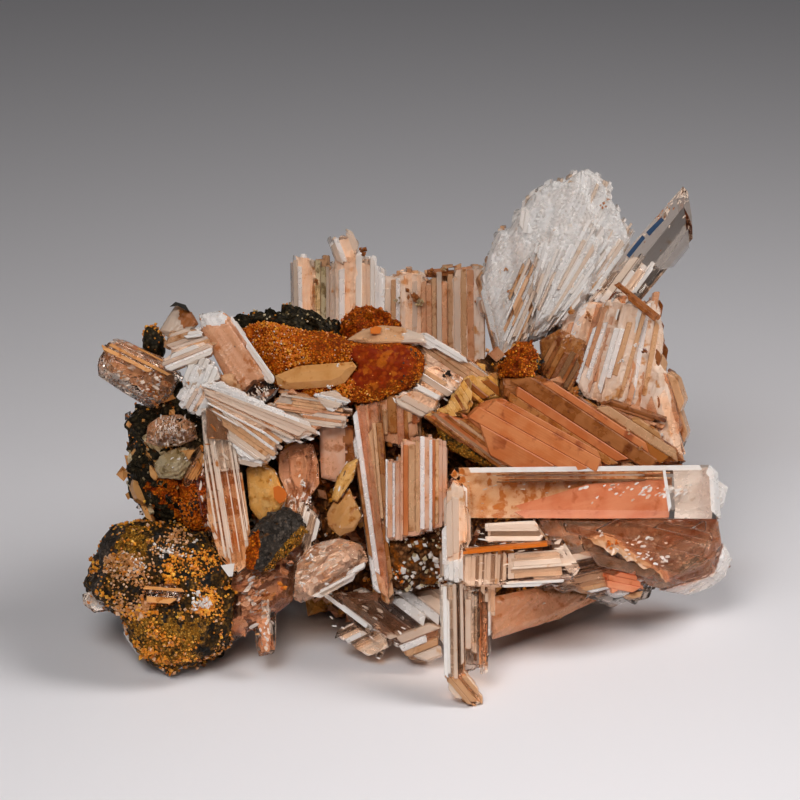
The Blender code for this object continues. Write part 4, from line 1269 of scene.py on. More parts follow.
# Painted sheen: a half-clear grey plate in the spear stands for a sheen of reflected light on it.
PAINTED_GREY_SHEEN = Grit("grey_sheen", (0.16, 0.16, 0.18), (0.24, 0.24, 0.26), (0.34, 0.34, 0.36), rough=0.2, alpha=0.6)
YELLOW = Grit("yellow_grains", (0.58, 0.14, 0.004), (0.76, 0.24, 0.008), (0.88, 0.42, 0.05), clear=0.1)

OCHRE_FACE = "236,318 300,330 352,350 352,400 280,390 250,360"
SHARD_RIM = "264,570 284,546 304,526 308,532 296,552 276,572"


@dataclass(frozen=True)
class UpperLeft(Region):
    """The white fan, the clear column and the crystals and rock to their left."""

    upper_left_prism: Crystals = Crystals(Slot.CLEAR, (CLEAR, VEIL_AND_HIGHLIGHT, RUST, FAWN, BLACK, HONEY, BROWN),
        Body(-30, carve=0.35, groove=1.5, ragged=1), (
        Flakes(70, (0.4, 1.5), -30, 60, skins=(1, 1, 1, 2)),
        Flakes(30, (0.4, 1.2), -30, 60, 0.6, skins=(2,), towards=(160, 400), pull=0.8),
        Spray("104,346 118,340 165,358 180,376 150,372 112,358", -27, 7.7, 0.8, (0.3, 0.9), (0.05, -0.12), 1, 0.2, 3,
            0.5, 14, skins=(0, 0, 5)),
        Flakes(120, (0.4, 1.3), 10, 80, 0.7, skins=(1, 1, 1, 6), towards=(140, 375), pull=0.3),
        # painted shade: the black cluster at 108,346 stands for a dark hollow; the others are rust specks
        Dots(((124, 378, 8.2, 0.6, 2), (158, 405, 7.5, 0.9, 2), (108, 346, 7, 0.5, 4), (163, 398, 7.9, 0.6, 2))),
    ), Body(-30, carve=0.5, groove=1.5, mesh_mm=0.5, sink=3.2, skin=3))
    peak_crystal: Crystals = Crystals(Slot.WHITE, (SILK, RUST, BLACK, AMBER),
        Body(60, carve=0.4, zones=(Zone("180,310 192,306 202,326 182,330", 3),)), (
        Plate("170,307 176,302 186,305 190,312 178,306", 3, 2, skin=2),
        Flakes(20, (0.4, 1), 60, 50, towards=(188, 322), pull=0.8),
    ))
    cap_rock: Rock = Rock(Slot.GOETHITE, (GOETHITE, GOLD, YELLOW), facets=0, crops=(
        Crop(60, (0.2, 0.45)), Crop(20, (0.2, 0.5), 2, "146,330 160,330 160,360 146,360"),
    ))
    striated_shards: Crystals = Crystals(Slot.WHITE, (SILK, FROST, FAWN, WHITE, CORE),
        Body(20, carve=0.3, groove=0.8, sink=0.5, skin=4), (
        Spray("160,366 170,356 200,346 217,343 217,352 196,366 166,371", 22, 10.8, 4.6, (0.35, 0.9), (0.05, -0.1), 3,
            0.5, 1, 0.2, 14, skins=(0, 0, 1, 2, 3)),
        Spray("163,347 170,334 205,327 217,334 217,350 180,354", 18, 8.4, 5, (0.5, 1.3), (0.05, -0.1), 3, 0.5, 1, 0.2,
            14, skins=(0, 2, 2, 1)),
        Spray("186,338 190,332 204,331 202,337", 8, 9.2, 1, (0.5, 0.9), layers=1, ragged=0.4, tilt=5, skins=(3,)),
    ))
    white_lump: Crystals = Crystals(Slot.WHITE, (FROST, WHITE, SILK, RUST), Body(70, carve=0.5, groove=0.9), (
        Spray("184,384 190,366 206,360 220,366 221,378 208,392 190,398", 68, 12.6, 3, (0.5, 1.2), (0, 0.1), 2, 0.6,
            1.2, 0.3, 22, skins=(0, 1, 2)),
        # painted glint: the white cluster at 205,368 stands for a glint; the other is a rust speck
        Dots(((190, 382, 12.8, 0.5, 3), (205, 368, 12.6, 0.6, 1))),
    ))
    peach_blade: Crystals = Crystals(Slot.PEACH, (BLUSH, VEIL_AND_HIGHLIGHT, BROWN, FROST),
        Body(-53, carve=0.25, groove=1.6, zones=(Zone("196,308 226,308 226,324 200,330", 3),)), (
        Flakes(30, (0.2, 0.6), -53, 10, skins=(2,)),
        Spray("232,318 238,322 276,380 270,386", -55, 9.9, 0.6, (0.4, 0.7), (0.08, -0.06), 1, 0.35, 0.4, tilt=5,
            skins=(1,)),
    ))
    round_crystal: Crystals = Crystals(Slot.CLEAR, (CLEAR, VEIL_AND_HIGHLIGHT), Body(25, bevel=0.5), (
        Flakes(18, (0.4, 1.4), -60, 30, 0.3),
    ))
    white_fan: Crystals = Crystals(Slot.WHITE, (SILK, FROST, WHITE, FAWN, CLEAR, CORE),
        Body(-28, carve=0.4, groove=0.8, sink=0.5, skin=5), (
        Spray("204,383 226,382 262,402 318,428 322,435 298,443 246,430 210,408", -24, 14.8, 3.4, (0.3, 1),
            (-0.05, 0.1), ragged=1.2, skins=(0, 1, 1, 2, 4), apex=(110, 350)),
        Spray("212,404 246,421 288,438 280,456 268,466 238,452 224,430", -36, 13.8, 3.6, (0.4, 1.2), (-0.05, 0.1), 3,
            0.4, 1.6, 0.15, skins=(1, 1, 4, 0, 3)),
        Spray("236,446 266,456 264,467 240,463", -13, 12.8, 2.4, (0.3, 0.6), layers=2, ragged=0.8, tilt=5,
            skins=(2, 2, 1, 0)),
        Spray("176,400 190,384 214,383 228,404 208,420 190,414", 60, 12.9, 5, (0.6, 1.6), (0.05, 0.1), 3, 0.6, 1.5,
            0.2, 18, skins=(1, 1, 0, 4)),
    ))
    clear_column: Crystals = Crystals(Slot.CLEAR, (CLEAR, VEIL_AND_HIGHLIGHT, RUST, HONEY, BROWN, WHITE, FROST, OCHRE_PHANTOM),
        Body(-80, bevel=0.4), (
        Plate("207,412 221,412 237,440 241,468 208,472", 10.4, 0.3, (0.05, 0.1), -80, skin=6),
        Plate("209,474 243,472 252,536 252,556 237,568 224,554 212,520", 8.6, 0.3, (0.05, 0.1), -80, skin=7),
        Spray("206,420 238,440 250,540 238,566 222,550 208,480", -81, 10.9, 0.3, (0.15, 0.5), (0.05, 0.1), 1, 0.5, 4,
            0.5, skins=(0, 0, 1, 0, 0, 5)),
        Plate("208,407 219,407 239,440 209,438", 13.1, 0.3, (0.05, 0.1), -60, skin=4),
        Flakes(34, (0.6, 2.6), -80, 25, 0.3, skins=(1, 1, 2)),
        Flakes(30, (0.4, 1.6), -10, 30, 0.2, skins=(2, 4), towards=(230, 500), pull=0.4),
        Plate("223,468 238,468 240,482 226,484", 9.6, skin=2), Plate("226,488 244,486 246,512 230,514", 9.2, skin=2),
        Flakes(60, (0.3, 1.2), -80, 60, 0.2, skins=(1, 1, 4)),
        Flakes(30, (0.3, 1), 10, 40, 0.2, towards=(225, 460), pull=0.7),
        Plate("222,564 236,562 234,575 230,575", 11, skin=5),
    ))
    left_stub: Crystals = Crystals(Slot.CLEAR, (CLEAR, VEIL_AND_HIGHLIGHT, BROWN, SILK, FAWN), Body(-5, carve=0.3), (
        Flakes(26, (0.5, 1.6), 85, 30, 0.25, skins=(1, 1, 2)),
        Flakes(10, (0.3, 0.8), 0, skins=(2,), towards=(182, 432), pull=0.8),
        Flakes(80, (0.4, 1.6), 84, 40, 0.15, skins=(1, 1, 2), towards=(168, 424), pull=0.5),
        Flakes(40, (0.3, 1), 20, 60, skins=(2, 1)),
    ), Body(-5, carve=0.4, mesh_mm=0.5, sink=2.4, skin=4))
    olive_lump: Crystals = Crystals(Slot.AMBER, (OLIVE, BROWN, WHITE), Body(30, carve=0.6, groove=1), (
        Flakes(20, (0.4, 1), 30, 60, 0.6, skins=(1, 2)),
    ))
    rusty_shard: Crystals = Crystals(Slot.AMBER, (FAWN, RUST), Body(60, carve=0.4), (
        Flakes(14, (0.4, 1.2), 60, 40, 0.35),
    ))
    wall_rock: Rock = Rock(Slot.GOETHITE, (GOETHITE, OLIVE, GOLD, CLEAR, LIMONITE, HONEY, BROWN), 0.5, zones=(
        Zone("180,470 220,470 220,530 176,520", 4), Zone("150,478 182,470 186,500 160,505", 4, blur=2),
    ), crops=(
        Crop(260, (0.25, 0.6)), Crop(240, (0.2, 0.5), 2), Crop(70, (0.8, 2), 5, clump=1),
        Crop(50, (0.8, 2), 3, clump=1),
    ), extras=(
        Spray("128,455 138,440 150,470 160,520 150,522 134,490", -68, 1.6, 4, (0.5, 1.6), (0.3, 0), 2, 1.2, 3.5, 0.5,
            35, skins=(1, 3, 5)),
        Spray("138,430 170,445 186,480 170,500 146,470", -50, 4.4, 3, (0.6, 1.8), (0.2, 0), 2, 1.2, 3.5, 0.5, 35,
            skins=(3, 1, 5)),
        Spray("176,446 206,440 206,478 186,486", 60, 8.2, 4, (0.6, 1.6), (0.1, 0), 2, 1, 2, 0.4, 25, skins=(5, 6, 3)),
    ))
    rusty_druse: Rock = Rock(Slot.LIMONITE, (LIMONITE, ORANGE, BLACK), facets=0, crops=(
        Crop(900, (0.2, 0.5), clump=2), Crop(500, (0.2, 0.5), 2, clump=2),
    ))


@dataclass(frozen=True)
class Nodule(Region):
    """The lump of goethite and druse at the lower left, and the crystals in it."""

    druse_nodule: Rock = Rock(Slot.DRUSE, (NODULE, TAN, GOLD, WHITE, OCHRE_CRUST, SLATE), 0.5,
        lumps=((7, 1.2), (2.6, 0.9), (1.2, 0.45), (0.7, 0.2)), facets=0, zones=(
        Zone("100,530 150,525 150,560 108,572", 4, blur=1.2),
        Zone("86,560 112,520 128,518 112,560 100,600", 5, blur=1), Zone("130,610 200,620 196,668 140,660", 4, blur=2),
    ), crops=(
        Crop(520, (0.35, 0.75), 1, "104,556 130,550 158,556 154,584 126,584 110,574", 0.6),
        Crop(260, (0.3, 0.6), 1, "148,540 178,530 196,536 182,556 158,556", 0.6),
        Crop(620, (0.25, 0.55), 2, "164,562 190,546 220,550 228,562 206,578 172,582", 0.4),
        Crop(360, (0.3, 0.6), 2, "186,588 214,584 226,600 222,616 200,616", 0.8),
        Crop(60, (0.4, 0.8), 3, "190,590 206,590 212,606 196,606", 0.6),
        Crop(40, (0.4, 0.7), 3, "134,556 150,556 150,568 136,568", 0.6),
        Crop(30, (0.4, 0.8), 3, "156,544 200,540 196,556 164,556", 0.6),
        Crop(420, (0.3, 0.6), 2, "124,604 160,610 206,634 200,660 160,664 132,640", 1.8),
        Crop(240, (0.3, 0.6), 1, "112,580 150,584 150,616 120,612", 1.2), Crop(1500, (0.25, 0.6), 2, clump=2.4),
        Crop(700, (0.25, 0.6), clump=2.4),
    ), extras=(
        Spray("124,551 146,545 158,541 160,545 128,556", 14, 10.6, 1.2, (0.5, 0.9), (-0.05, 0.3), 1, 0.35, 0.4,
            tilt=5, skins=(3,)),
    ))
    nodule_prism: Crystals = Crystals(Slot.CLEAR, (CLEAR, VEIL_AND_HIGHLIGHT, BROWN, HONEY), Body(-3, carve=0.3), (
        Flakes(24, (0.5, 1.6), 80, 30, 0.3, skins=(1, 2)),
        Spray("147,585 178,583 186,590 182,600 148,600", -4, 14.3, 0.8, (0.5, 1.2), layers=1, ragged=1.5, tilt=10,
            skins=(0, 3)),
    ))
    nodule_rod: Crystals = Crystals(Slot.CLEAR, (CLEAR, VEIL_AND_HIGHLIGHT, YELLOW, WHITE), Body(2, bevel=0.3), (
        Flakes(16, (0.4, 1.4), 0, 30, 0.3),
        Flakes(16, (0.3, 0.9), 60, 60, 0.6, skins=(3, 3, 1), towards=(86, 600), pull=0.9),
        Dots(((90, 602, 3.2, 0.5, 2), (92, 596, 3, 0.4, 2))),
    ))
    nodule_rim: Crystals = Crystals(Slot.CLEAR, (FROST, VEIL_AND_HIGHLIGHT, RUST), Body(-20, carve=0.3), (
        Flakes(30, (0.5, 1.6), -20, skins=(1, 1, 2)),
    ))


@dataclass(frozen=True)
class OchreGroup(Region):
    """The granular ochre slab with its dark crest and the crystals on it."""

    ochre_slab: Rock = Rock(Slot.LIMONITE, (LIMONITE, YELLOW, WHITE, RED_LIMONITE, BLACK, ORANGE), 0.5,
        lumps=((5, 0.5), (1.5, 0.35), (0.7, 0.3)), facets=0, swell=0.1, zones=(
        Zone("352,348 408,346 416,364 404,378 372,392 350,384", 3, blur=0.8),
        Zone("238,316 256,318 254,338 240,332", 3, blur=1),
    ), crops=(
        Crop(2400, (0.18, 0.42), 1, OCHRE_FACE, 1), Crop(1800, (0.18, 0.42), 5, OCHRE_FACE),
        Crop(260, (0.12, 0.28), 2, "240,320 300,332 352,350 352,380 280,380", 1),
        Crop(700, (0.18, 0.4), 1, "352,380 372,396 404,384 422,366 420,392 372,408", 1.2),
        Crop(30, (0.2, 0.45), 4, "372,344 424,346 424,384 404,384", 1), Crop(700, (0.15, 0.4), clump=1.4),
    ))
    goethite_crest: Rock = Rock(Slot.GOETHITE, (GOETHITE, OLIVE, GOLD), crops=(
        Crop(160, (0.2, 0.5)), Crop(60, (0.2, 0.4), 2),
    ))
    rear_limonite: Rock = Rock(Slot.LIMONITE, (LIMONITE, ORANGE, BLACK), crops=(
        Crop(200, (0.2, 0.45)), Crop(60, (0.2, 0.4), 2),
    ))
    tapered_blade: Crystals = Crystals(Slot.PEACH, (HONEY, VEIL_AND_HIGHLIGHT, RUST, WHITE, BLUSH), Body(5, bevel=0.5), (
        Flakes(14, (0.4, 1.2), 5, 30, 0.3),
        Flakes(30, (0.4, 1.2), 5, 20, 0.4, skins=(2, 2, 4), towards=(300, 382), pull=0.5),
        # painted glints: both white clusters stand for glints
        Dots(((338, 366, 11.4, 0.4, 3), (330, 387, 11.2, 0.6, 3))),
    ))
    flake_stack: Crystals = Crystals(Slot.PEACH, (SILK, FROST, FAWN, BLUSH, WHITE),
        Body(-10, carve=0.3, groove=0.7, sink=0.5), (
        Spray("280,391 291,386 302,393 352,407 352,420 318,420 269,408", -9, 10.8, 6, (0.3, 0.9), (0, 0.15), 4, 0.6,
            2.5, 0.25, 16, skins=(0, 2, 2, 3, 1)),
        Spray("313,394 335,390 352,402 330,413", -16, 11.5, 3, (0.3, 0.8), ragged=0.4, tilt=5, skins=(4, 1, 0)),
        Spray("298,415 320,410 348,414 346,428 310,428", -8, 10.9, 5, (0.4, 1), ragged=1.5, tilt=14,
            skins=(3, 3, 0, 1)),
        Spray("261,407 280,398 300,411 318,429 300,426", -34, 9.4, 4, (0.4, 1.1), ragged=1.2, tilt=5,
            skins=(3, 2, 0)),
    ))
    leaf_crystal: Crystals = Crystals(Slot.PEACH, (FAWN, VEIL_AND_HIGHLIGHT, RUST, SILK, ORANGE),
        Body(-3, carve=0.25, groove=1, zones=(Zone("404,330 440,330 440,350 400,346", 3),)), (
        Flakes(20, (0.5, 1.6), -3, 30, 0.3),
        Plate("370,329 376,326 382,328 380,334 371,334", 6.4, 0.5, (0, -0.5), skin=4),
    ))


@dataclass(frozen=True)
class CombRidge(Region):
    """The upright comb along the back."""

    comb_ridge: Crystals = Crystals(Slot.WHITE, (SILK, FROST, FAWN, CLEAR, BLUSH, AMBER, OLIVE, CORE, WHITE),
        Body(90, carve=0.5, groove=1, mesh_mm=0.6, sink=0.6, skin=7), (
        Spray("291,254 296,249 312,251 318,262 318,400 298,398 292,300", 91, -20.2, 8, (0.8, 2), (0, 0), 3, 1.2, 1.6,
            0.1, 14, skins=(3, 3, 1, 0), follow=0.3),
        Spray("314,256 326,254 340,262 342,400 314,400", 90, -21.2, 8, (0.7, 1.6), (0, 0), 3, 1, 1.4, 0.1, 14,
            skins=(6, 2, 2, 3, 0), follow=0.3),
        Spray("327,238 333,231 350,229 358,244 352,262 338,262", 112, -19.8, 5, (0.8, 1.8), (0, 0), 3, 0.8, 1.2,
            tilt=16, skins=(3, 1, 0)),
        Spray("338,262 352,246 370,248 382,268 384,400 338,400", 90, -18.8, 9, (0.7, 1.7), (0, 0), 3, 1.2, 1.6, 0.08,
            skins=(1, 1, 8, 0, 3), follow=0.3),
        Spray("380,272 400,268 406,263 420,264 426,276 426,410 380,402", 90, -19.4, 9, (0.7, 1.7), (0, 0), 3, 1.2,
            1.8, 0.1, skins=(0, 1, 3, 2), follow=0.3),
        Spray("422,277 440,270 456,272 458,264 470,261 484,264 487,404 422,410", 90.5, -17.9, 9.4, (0.8, 1.5), (0, 0),
            3, 0.9, 1.2, 0.05, 10, skins=(4, 2, 2, 0, 2, 4), follow=0.3),
        Spray("424,268 440,266 456,264 456,272 428,276", 5, -18.6, 4, (0.6, 1.2), layers=2, ragged=1.4, tilt=20,
            skins=(1, 5, 2)),
        Dots((
            (316, 280, -19, 1, 5), (362, 250, -18.4, 1.2, 5), (432, 270, -17.4, 0.9, 5),
            (446, 268, -17.4, 0.7, 6), (398, 300, -17.8, 0.9, 6), (412, 294, -17.4, 1.4, 5),
            (420, 302, -17.2, 1.2, 6), (478, 300, -17, 0.6, 5),
        )),
    ))


@dataclass(frozen=True)
class FanGroup(Region):
    """The feather fan, the spear and the cluster at the upper right."""

    feather_fan: Crystals = Crystals(Slot.WHITE, (SILK, FROST, FAWN, CLEAR, WHITE, RUST, CORE),
        Body(68, carve=0.6, groove=0.7, ragged=0.9, mesh_mm=0.42, sink=0.3, skin=1), (
        Spray("500,357 481,300 480,268 490,245 498,226 510,225 540,232 548,300 530,342", 75, -10.2, 7, (0.4, 1.2),
            (0.05, 0.05), 3, 0.5, 1.8, 0.35, 18, skins=(0, 1, 1, 2), apex=(520, 440)),
        Spray("515,350 505,240 518,207 535,191 552,179 566,178 590,212 592,300 545,340", 70, -9.6, 7.4, (0.4, 1.1),
            (0.05, 0.08), 4, 0.6, 2.2, 0.4, 20, skins=(1, 1, 4, 0), apex=(500, 440)),
        Spray("555,328 556,190 576,170 592,165 606,178 614,185 622,212 636,228 630,240 605,300", 60, -9.2, 8,
            (0.4, 1.1), (-0.05, 0.08), 4, 0.6, 2, 0.35, 20, skins=(1, 1, 4, 0), apex=(500, 420)),
        Spray("530,336 536,246 546,228 570,227 592,212 606,216 606,256 590,288 560,326", 62, -6.6, 3.6, (0.3, 0.9),
            (0, 0.05), 3, 0.45, 2.4, 0.45, 20, skins=(1, 1, 0, 4), apex=(500, 400)),
        Spray("502,358 508,300 530,250 540,290 528,340", 66, -7.6, 2.6, (0.3, 0.8), (0, 0), 2, 0.4, 2, 0.4, 18),
        Spray("521,234 522,206 530,206 532,234", 82, -8, 1.6, (0.6, 1.2), layers=2, ragged=0.4, tilt=5, skins=(4, 1)),
        Dots((
            (604, 205, -7.4, 0.7, 5), (610, 198, -7.6, 0.5, 5), (572, 311, -7, 1.1, 5), (590, 316, -6.6, 1, 5),
            (510, 290, -7.4, 0.7, 5), (506, 268, -8.6, 0.6, 5),
        )),
    ))
    spear: Crystals = Crystals(Slot.CLEAR, (CLEAR, WHITE, PAINTED_BLUE_REFLECTION, PAINTED_GREY_SHEEN, RUST, VEIL_AND_HIGHLIGHT), Body(53, bevel=0.5), (
        # painted reflection: these two dark blue plates stand for dark reflections on the spear's faces
        Plate("628,254 644,234 647,237 631,257", -9.6, 0.3, (0.1, 0), 53, skin=2),
        Plate("648,231 663,216 666,219 651,235", -9.2, 0.3, (0.1, 0), 53, skin=2),
        # painted sheen: this grey plate stands for reflected light on the spear
        Plate("662,268 690,226 692,246 676,266", -12.4, 0.4, (0.1, 0), 53, skin=3),
        Flakes(26, (0.4, 1.6), 53, 40, 0.4, skins=(1, 1, 5), towards=(684, 190), pull=0.95),
        Flakes(10, (0.3, 0.9), 53, skins=(4,), towards=(670, 208), pull=0.9),
        Spray("606,302 598,290 640,250 662,268 640,298", 54, -8.8, 2, (0.8, 1.8), (0, 0), 2, 0.35, 3, 0.3, 16,
            skins=(0, 5, 1)),
        Flakes(16, (0.4, 1.4), 53, 50, 0.4, skins=(1, 5), towards=(620, 268), pull=0.85),
    ))
    striated_cluster: Crystals = Crystals(Slot.PEACH, (BLUSH, FROST, FAWN, WHITE, CLEAR, AMBER, SMOKE, CORE),
        Body(78, carve=0.5, groove=1, mesh_mm=0.6, sink=0.5, skin=7), (
        Spray("550,380 562,315 590,297 610,300 590,385", 74, -9, 9, (0.8, 1.8), (0, 0), 3, 0.8, 2, 0.25, 16,
            skins=(4, 1, 2, 0)),
        Spray("575,385 590,340 606,297 624,292 612,345 600,406 585,402", 72, -5.6, 9, (0.7, 1.5), (-0.1, 0), 3, 0.8,
            2, 0.25, 14, skins=(0, 1, 4, 3)),
        Spray("596,406 621,299 647,302 634,417", 74, -4, 10, (0.7, 1.5), (-0.1, 0.05), 3, 0.8, 2.5, 0.3, 14,
            skins=(0, 1, 1, 3, 2)),
        Spray("629,420 642,305 660,288 669,335 662,400 656,430", 80, -6.2, 9, (0.8, 1.7), (-0.1, 0), 3, 0.9, 2.5, 0.3,
            14, skins=(0, 1, 2, 5)),
        Spray("640,427 655,365 668,366 678,378 680,396 692,437 688,457 655,460", 108, -5.4, 11, (1, 2.4), (-0.2, 0),
            3, 1, 2, 0.25, 16, skins=(6, 2, 5, 4)),
        Spray("600,400 640,408 668,420 650,436 610,420", -18, -2.6, 4, (0.5, 1.3), layers=2, tilt=20,
            skins=(5, 5, 0)),
        Spray("614,284 620,282 662,316 656,322", -39, -3, 1.4, (0.5, 0.9), layers=2, ragged=0.4, tilt=5, skins=(5,)),
        # painted glints: the white clusters stand for glints; the one at 645,350 is an amber speck
        Dots((
            (622, 362, -3.4, 0.7, 3), (614, 300, -4.6, 0.6, 3), (648, 440, -4.4, 0.6, 3), (663, 435, -5, 0.5, 3),
            (636, 345, -3.4, 0.6, 3), (645, 350, -3.6, 1, 5),
        )),
    ))
    amber_block: Crystals = Crystals(Slot.AMBER, (RUSTY, BROWN, CLEAR, BLACK, AMBER), Body(66, carve=0.5, groove=0.9),
        (
        Spray("540,370 556,335 580,352 575,392 548,392", 62, -3.8, 3, (0.4, 1.2), (0, 0), 3, 0.8, 1.6, tilt=16,
            skins=(0, 0, 4, 1)),
        # painted shade: both black clusters stand for dark hollows
        Dots(((538, 362, -3.4, 1.2, 3), (534, 372, -3.2, 0.8, 3))),
    ))
    limonite_wedge: Rock = Rock(Slot.LIMONITE, (LIMONITE, ORANGE, GOLD), crops=(
        Crop(160, (0.2, 0.4)), Crop(300, (0.2, 0.4), 2),
    ))


@dataclass(frozen=True)
class SlabGroup(Region):
    """The leaning salmon and amber slabs in the middle."""

    salmon_slab: Crystals = Crystals(Slot.SALMON, (SALMON, RUSTY, AMBER, BROWN, FAWN, BLACK),
        Body(-30, bevel=0.4, sink=0.3), (
        Spray("462,420 489,399 513,404 568,440 602,456 602,472 520,472", -29, 8.6, 5, (2.2, 5), (-0.22, 0), 2, 0.15,
            1, 0.04, 1.5, skins=(0,)),
        Spray("424,416 432,410 465,420 530,468 500,469", -37, 10.6, 5, (0.35, 0.8), (-0.15, 0.05), 3, 0.5, 1.5, 0.08,
            10, skins=(2, 1, 3, 4, 2)),
        Flakes(26, (0.15, 0.4), -29, 10, 0.6, skins=(5,)),
    ))
    amber_slabs: Crystals = Crystals(Slot.AMBER, (AMBER, RUSTY, RUST, SALMON, FAWN, BLACK),
        Body(-33, carve=0.4, groove=1, sink=0.4), (
        Spray("500,376 535,375 600,413 650,450 665,471 590,471 500,401", -33, 4.4, 7, (1.2, 3.4), (-0.25, 0), 3, 0.5,
            1.6, tilt=4, skins=(0, 0, 3, 1)),
        Spray("560,393 600,405 650,425 690,462 680,472 630,472 580,420", -33, 0.8, 9, (0.8, 2.2), (-0.25, 0), 3, 0.8,
            2, 0.2, skins=(0, 1, 4, 2)),
        Flakes(24, (0.2, 0.6), -33, 20, skins=(5, 4)),
        Dots(((576, 392, 1.6, 1.3, 2), (628, 430, 1.6, 0.7, 4), (640, 448, 1.4, 0.6, 4))),
    ))
    peach_spike: Crystals = Crystals(Slot.PEACH, (GOLDEN, RUST, RUSTY, BROWN),
        Body(-50, carve=0.3, groove=1, sink=0.3), (
        Spray("424,417 445,405 463,377 470,375 472,400 468,416", -58, 9.8, 3.6, (0.6, 1.5), (-0.1, -0.1), 2, 0.3, 1,
            0.1, 6, skins=(0, 2)),
        Spray("466,377 499,373 503,400 469,405", -40, 5.8, 4.6, (0.6, 1.6), (-0.1, 0), 2, 0.5, 1.4, 0.2, 16),
        Flakes(12, (0.3, 0.8), -50, 30, skins=(1, 3)),
    ))
    ochre_wedge: Crystals = Crystals(Slot.LIMONITE, (OCHRE_CRUST, YELLOW, BLACK, AMBER),
        Body(-40, carve=0.35, ragged=0.3), (Flakes(60, (0.15, 0.4), -40, 30, 0.8, skins=(1, 1, 2)),))
    cross_band: Crystals = Crystals(Slot.CLEAR, (CLEAR, SILK, FAWN, VEIL_AND_HIGHLIGHT, BLACK, WHITE, CORE),
        Body(-35, carve=0.4, groove=0.8, sink=0.4, skin=6), (
        Spray("411,336 432,340 475,366 500,384 495,404 470,398 438,384 418,360", -35, 3.2, 6, (0.5, 1.8), (0, -0.1),
            3, 0.6, 2, 0.15, 16, skins=(0, 0, 1, 2)),
        Spray("408,330 428,334 470,362 474,368 440,352 410,342", -30, 4.4, 2, (0.4, 1), (0, 0), 2, 0.3, 1.2, 0.1,
            skins=(1, 5, 1)),
        Spray("389,398 418,385 444,398 436,414 420,416", -28, 9, 5, (0.5, 1.6), (0, 0.1), 3, 0.7, 1.8, 0.2, 20,
            skins=(0, 0, 1, 5)),
        Spray("415,360 445,370 460,392 435,406 415,390", -33, 5.4, 4, (0.8, 1.8), (0, 0), 2, 0.7, 1.8, 0.2, 16),
        Flakes(30, (0.4, 1.4), -35, 50, 0.4, skins=(3,)),
        # painted shade and glint: the three black clusters stand for dark hollows and the small white one for a glint
        Dots(((448, 374, 4.4, 1.1, 4), (472, 388, 2.6, 1.2, 4), (490, 392, 2.2, 1.3, 4), (473, 391, 3.4, 0.3, 5))),
    ))


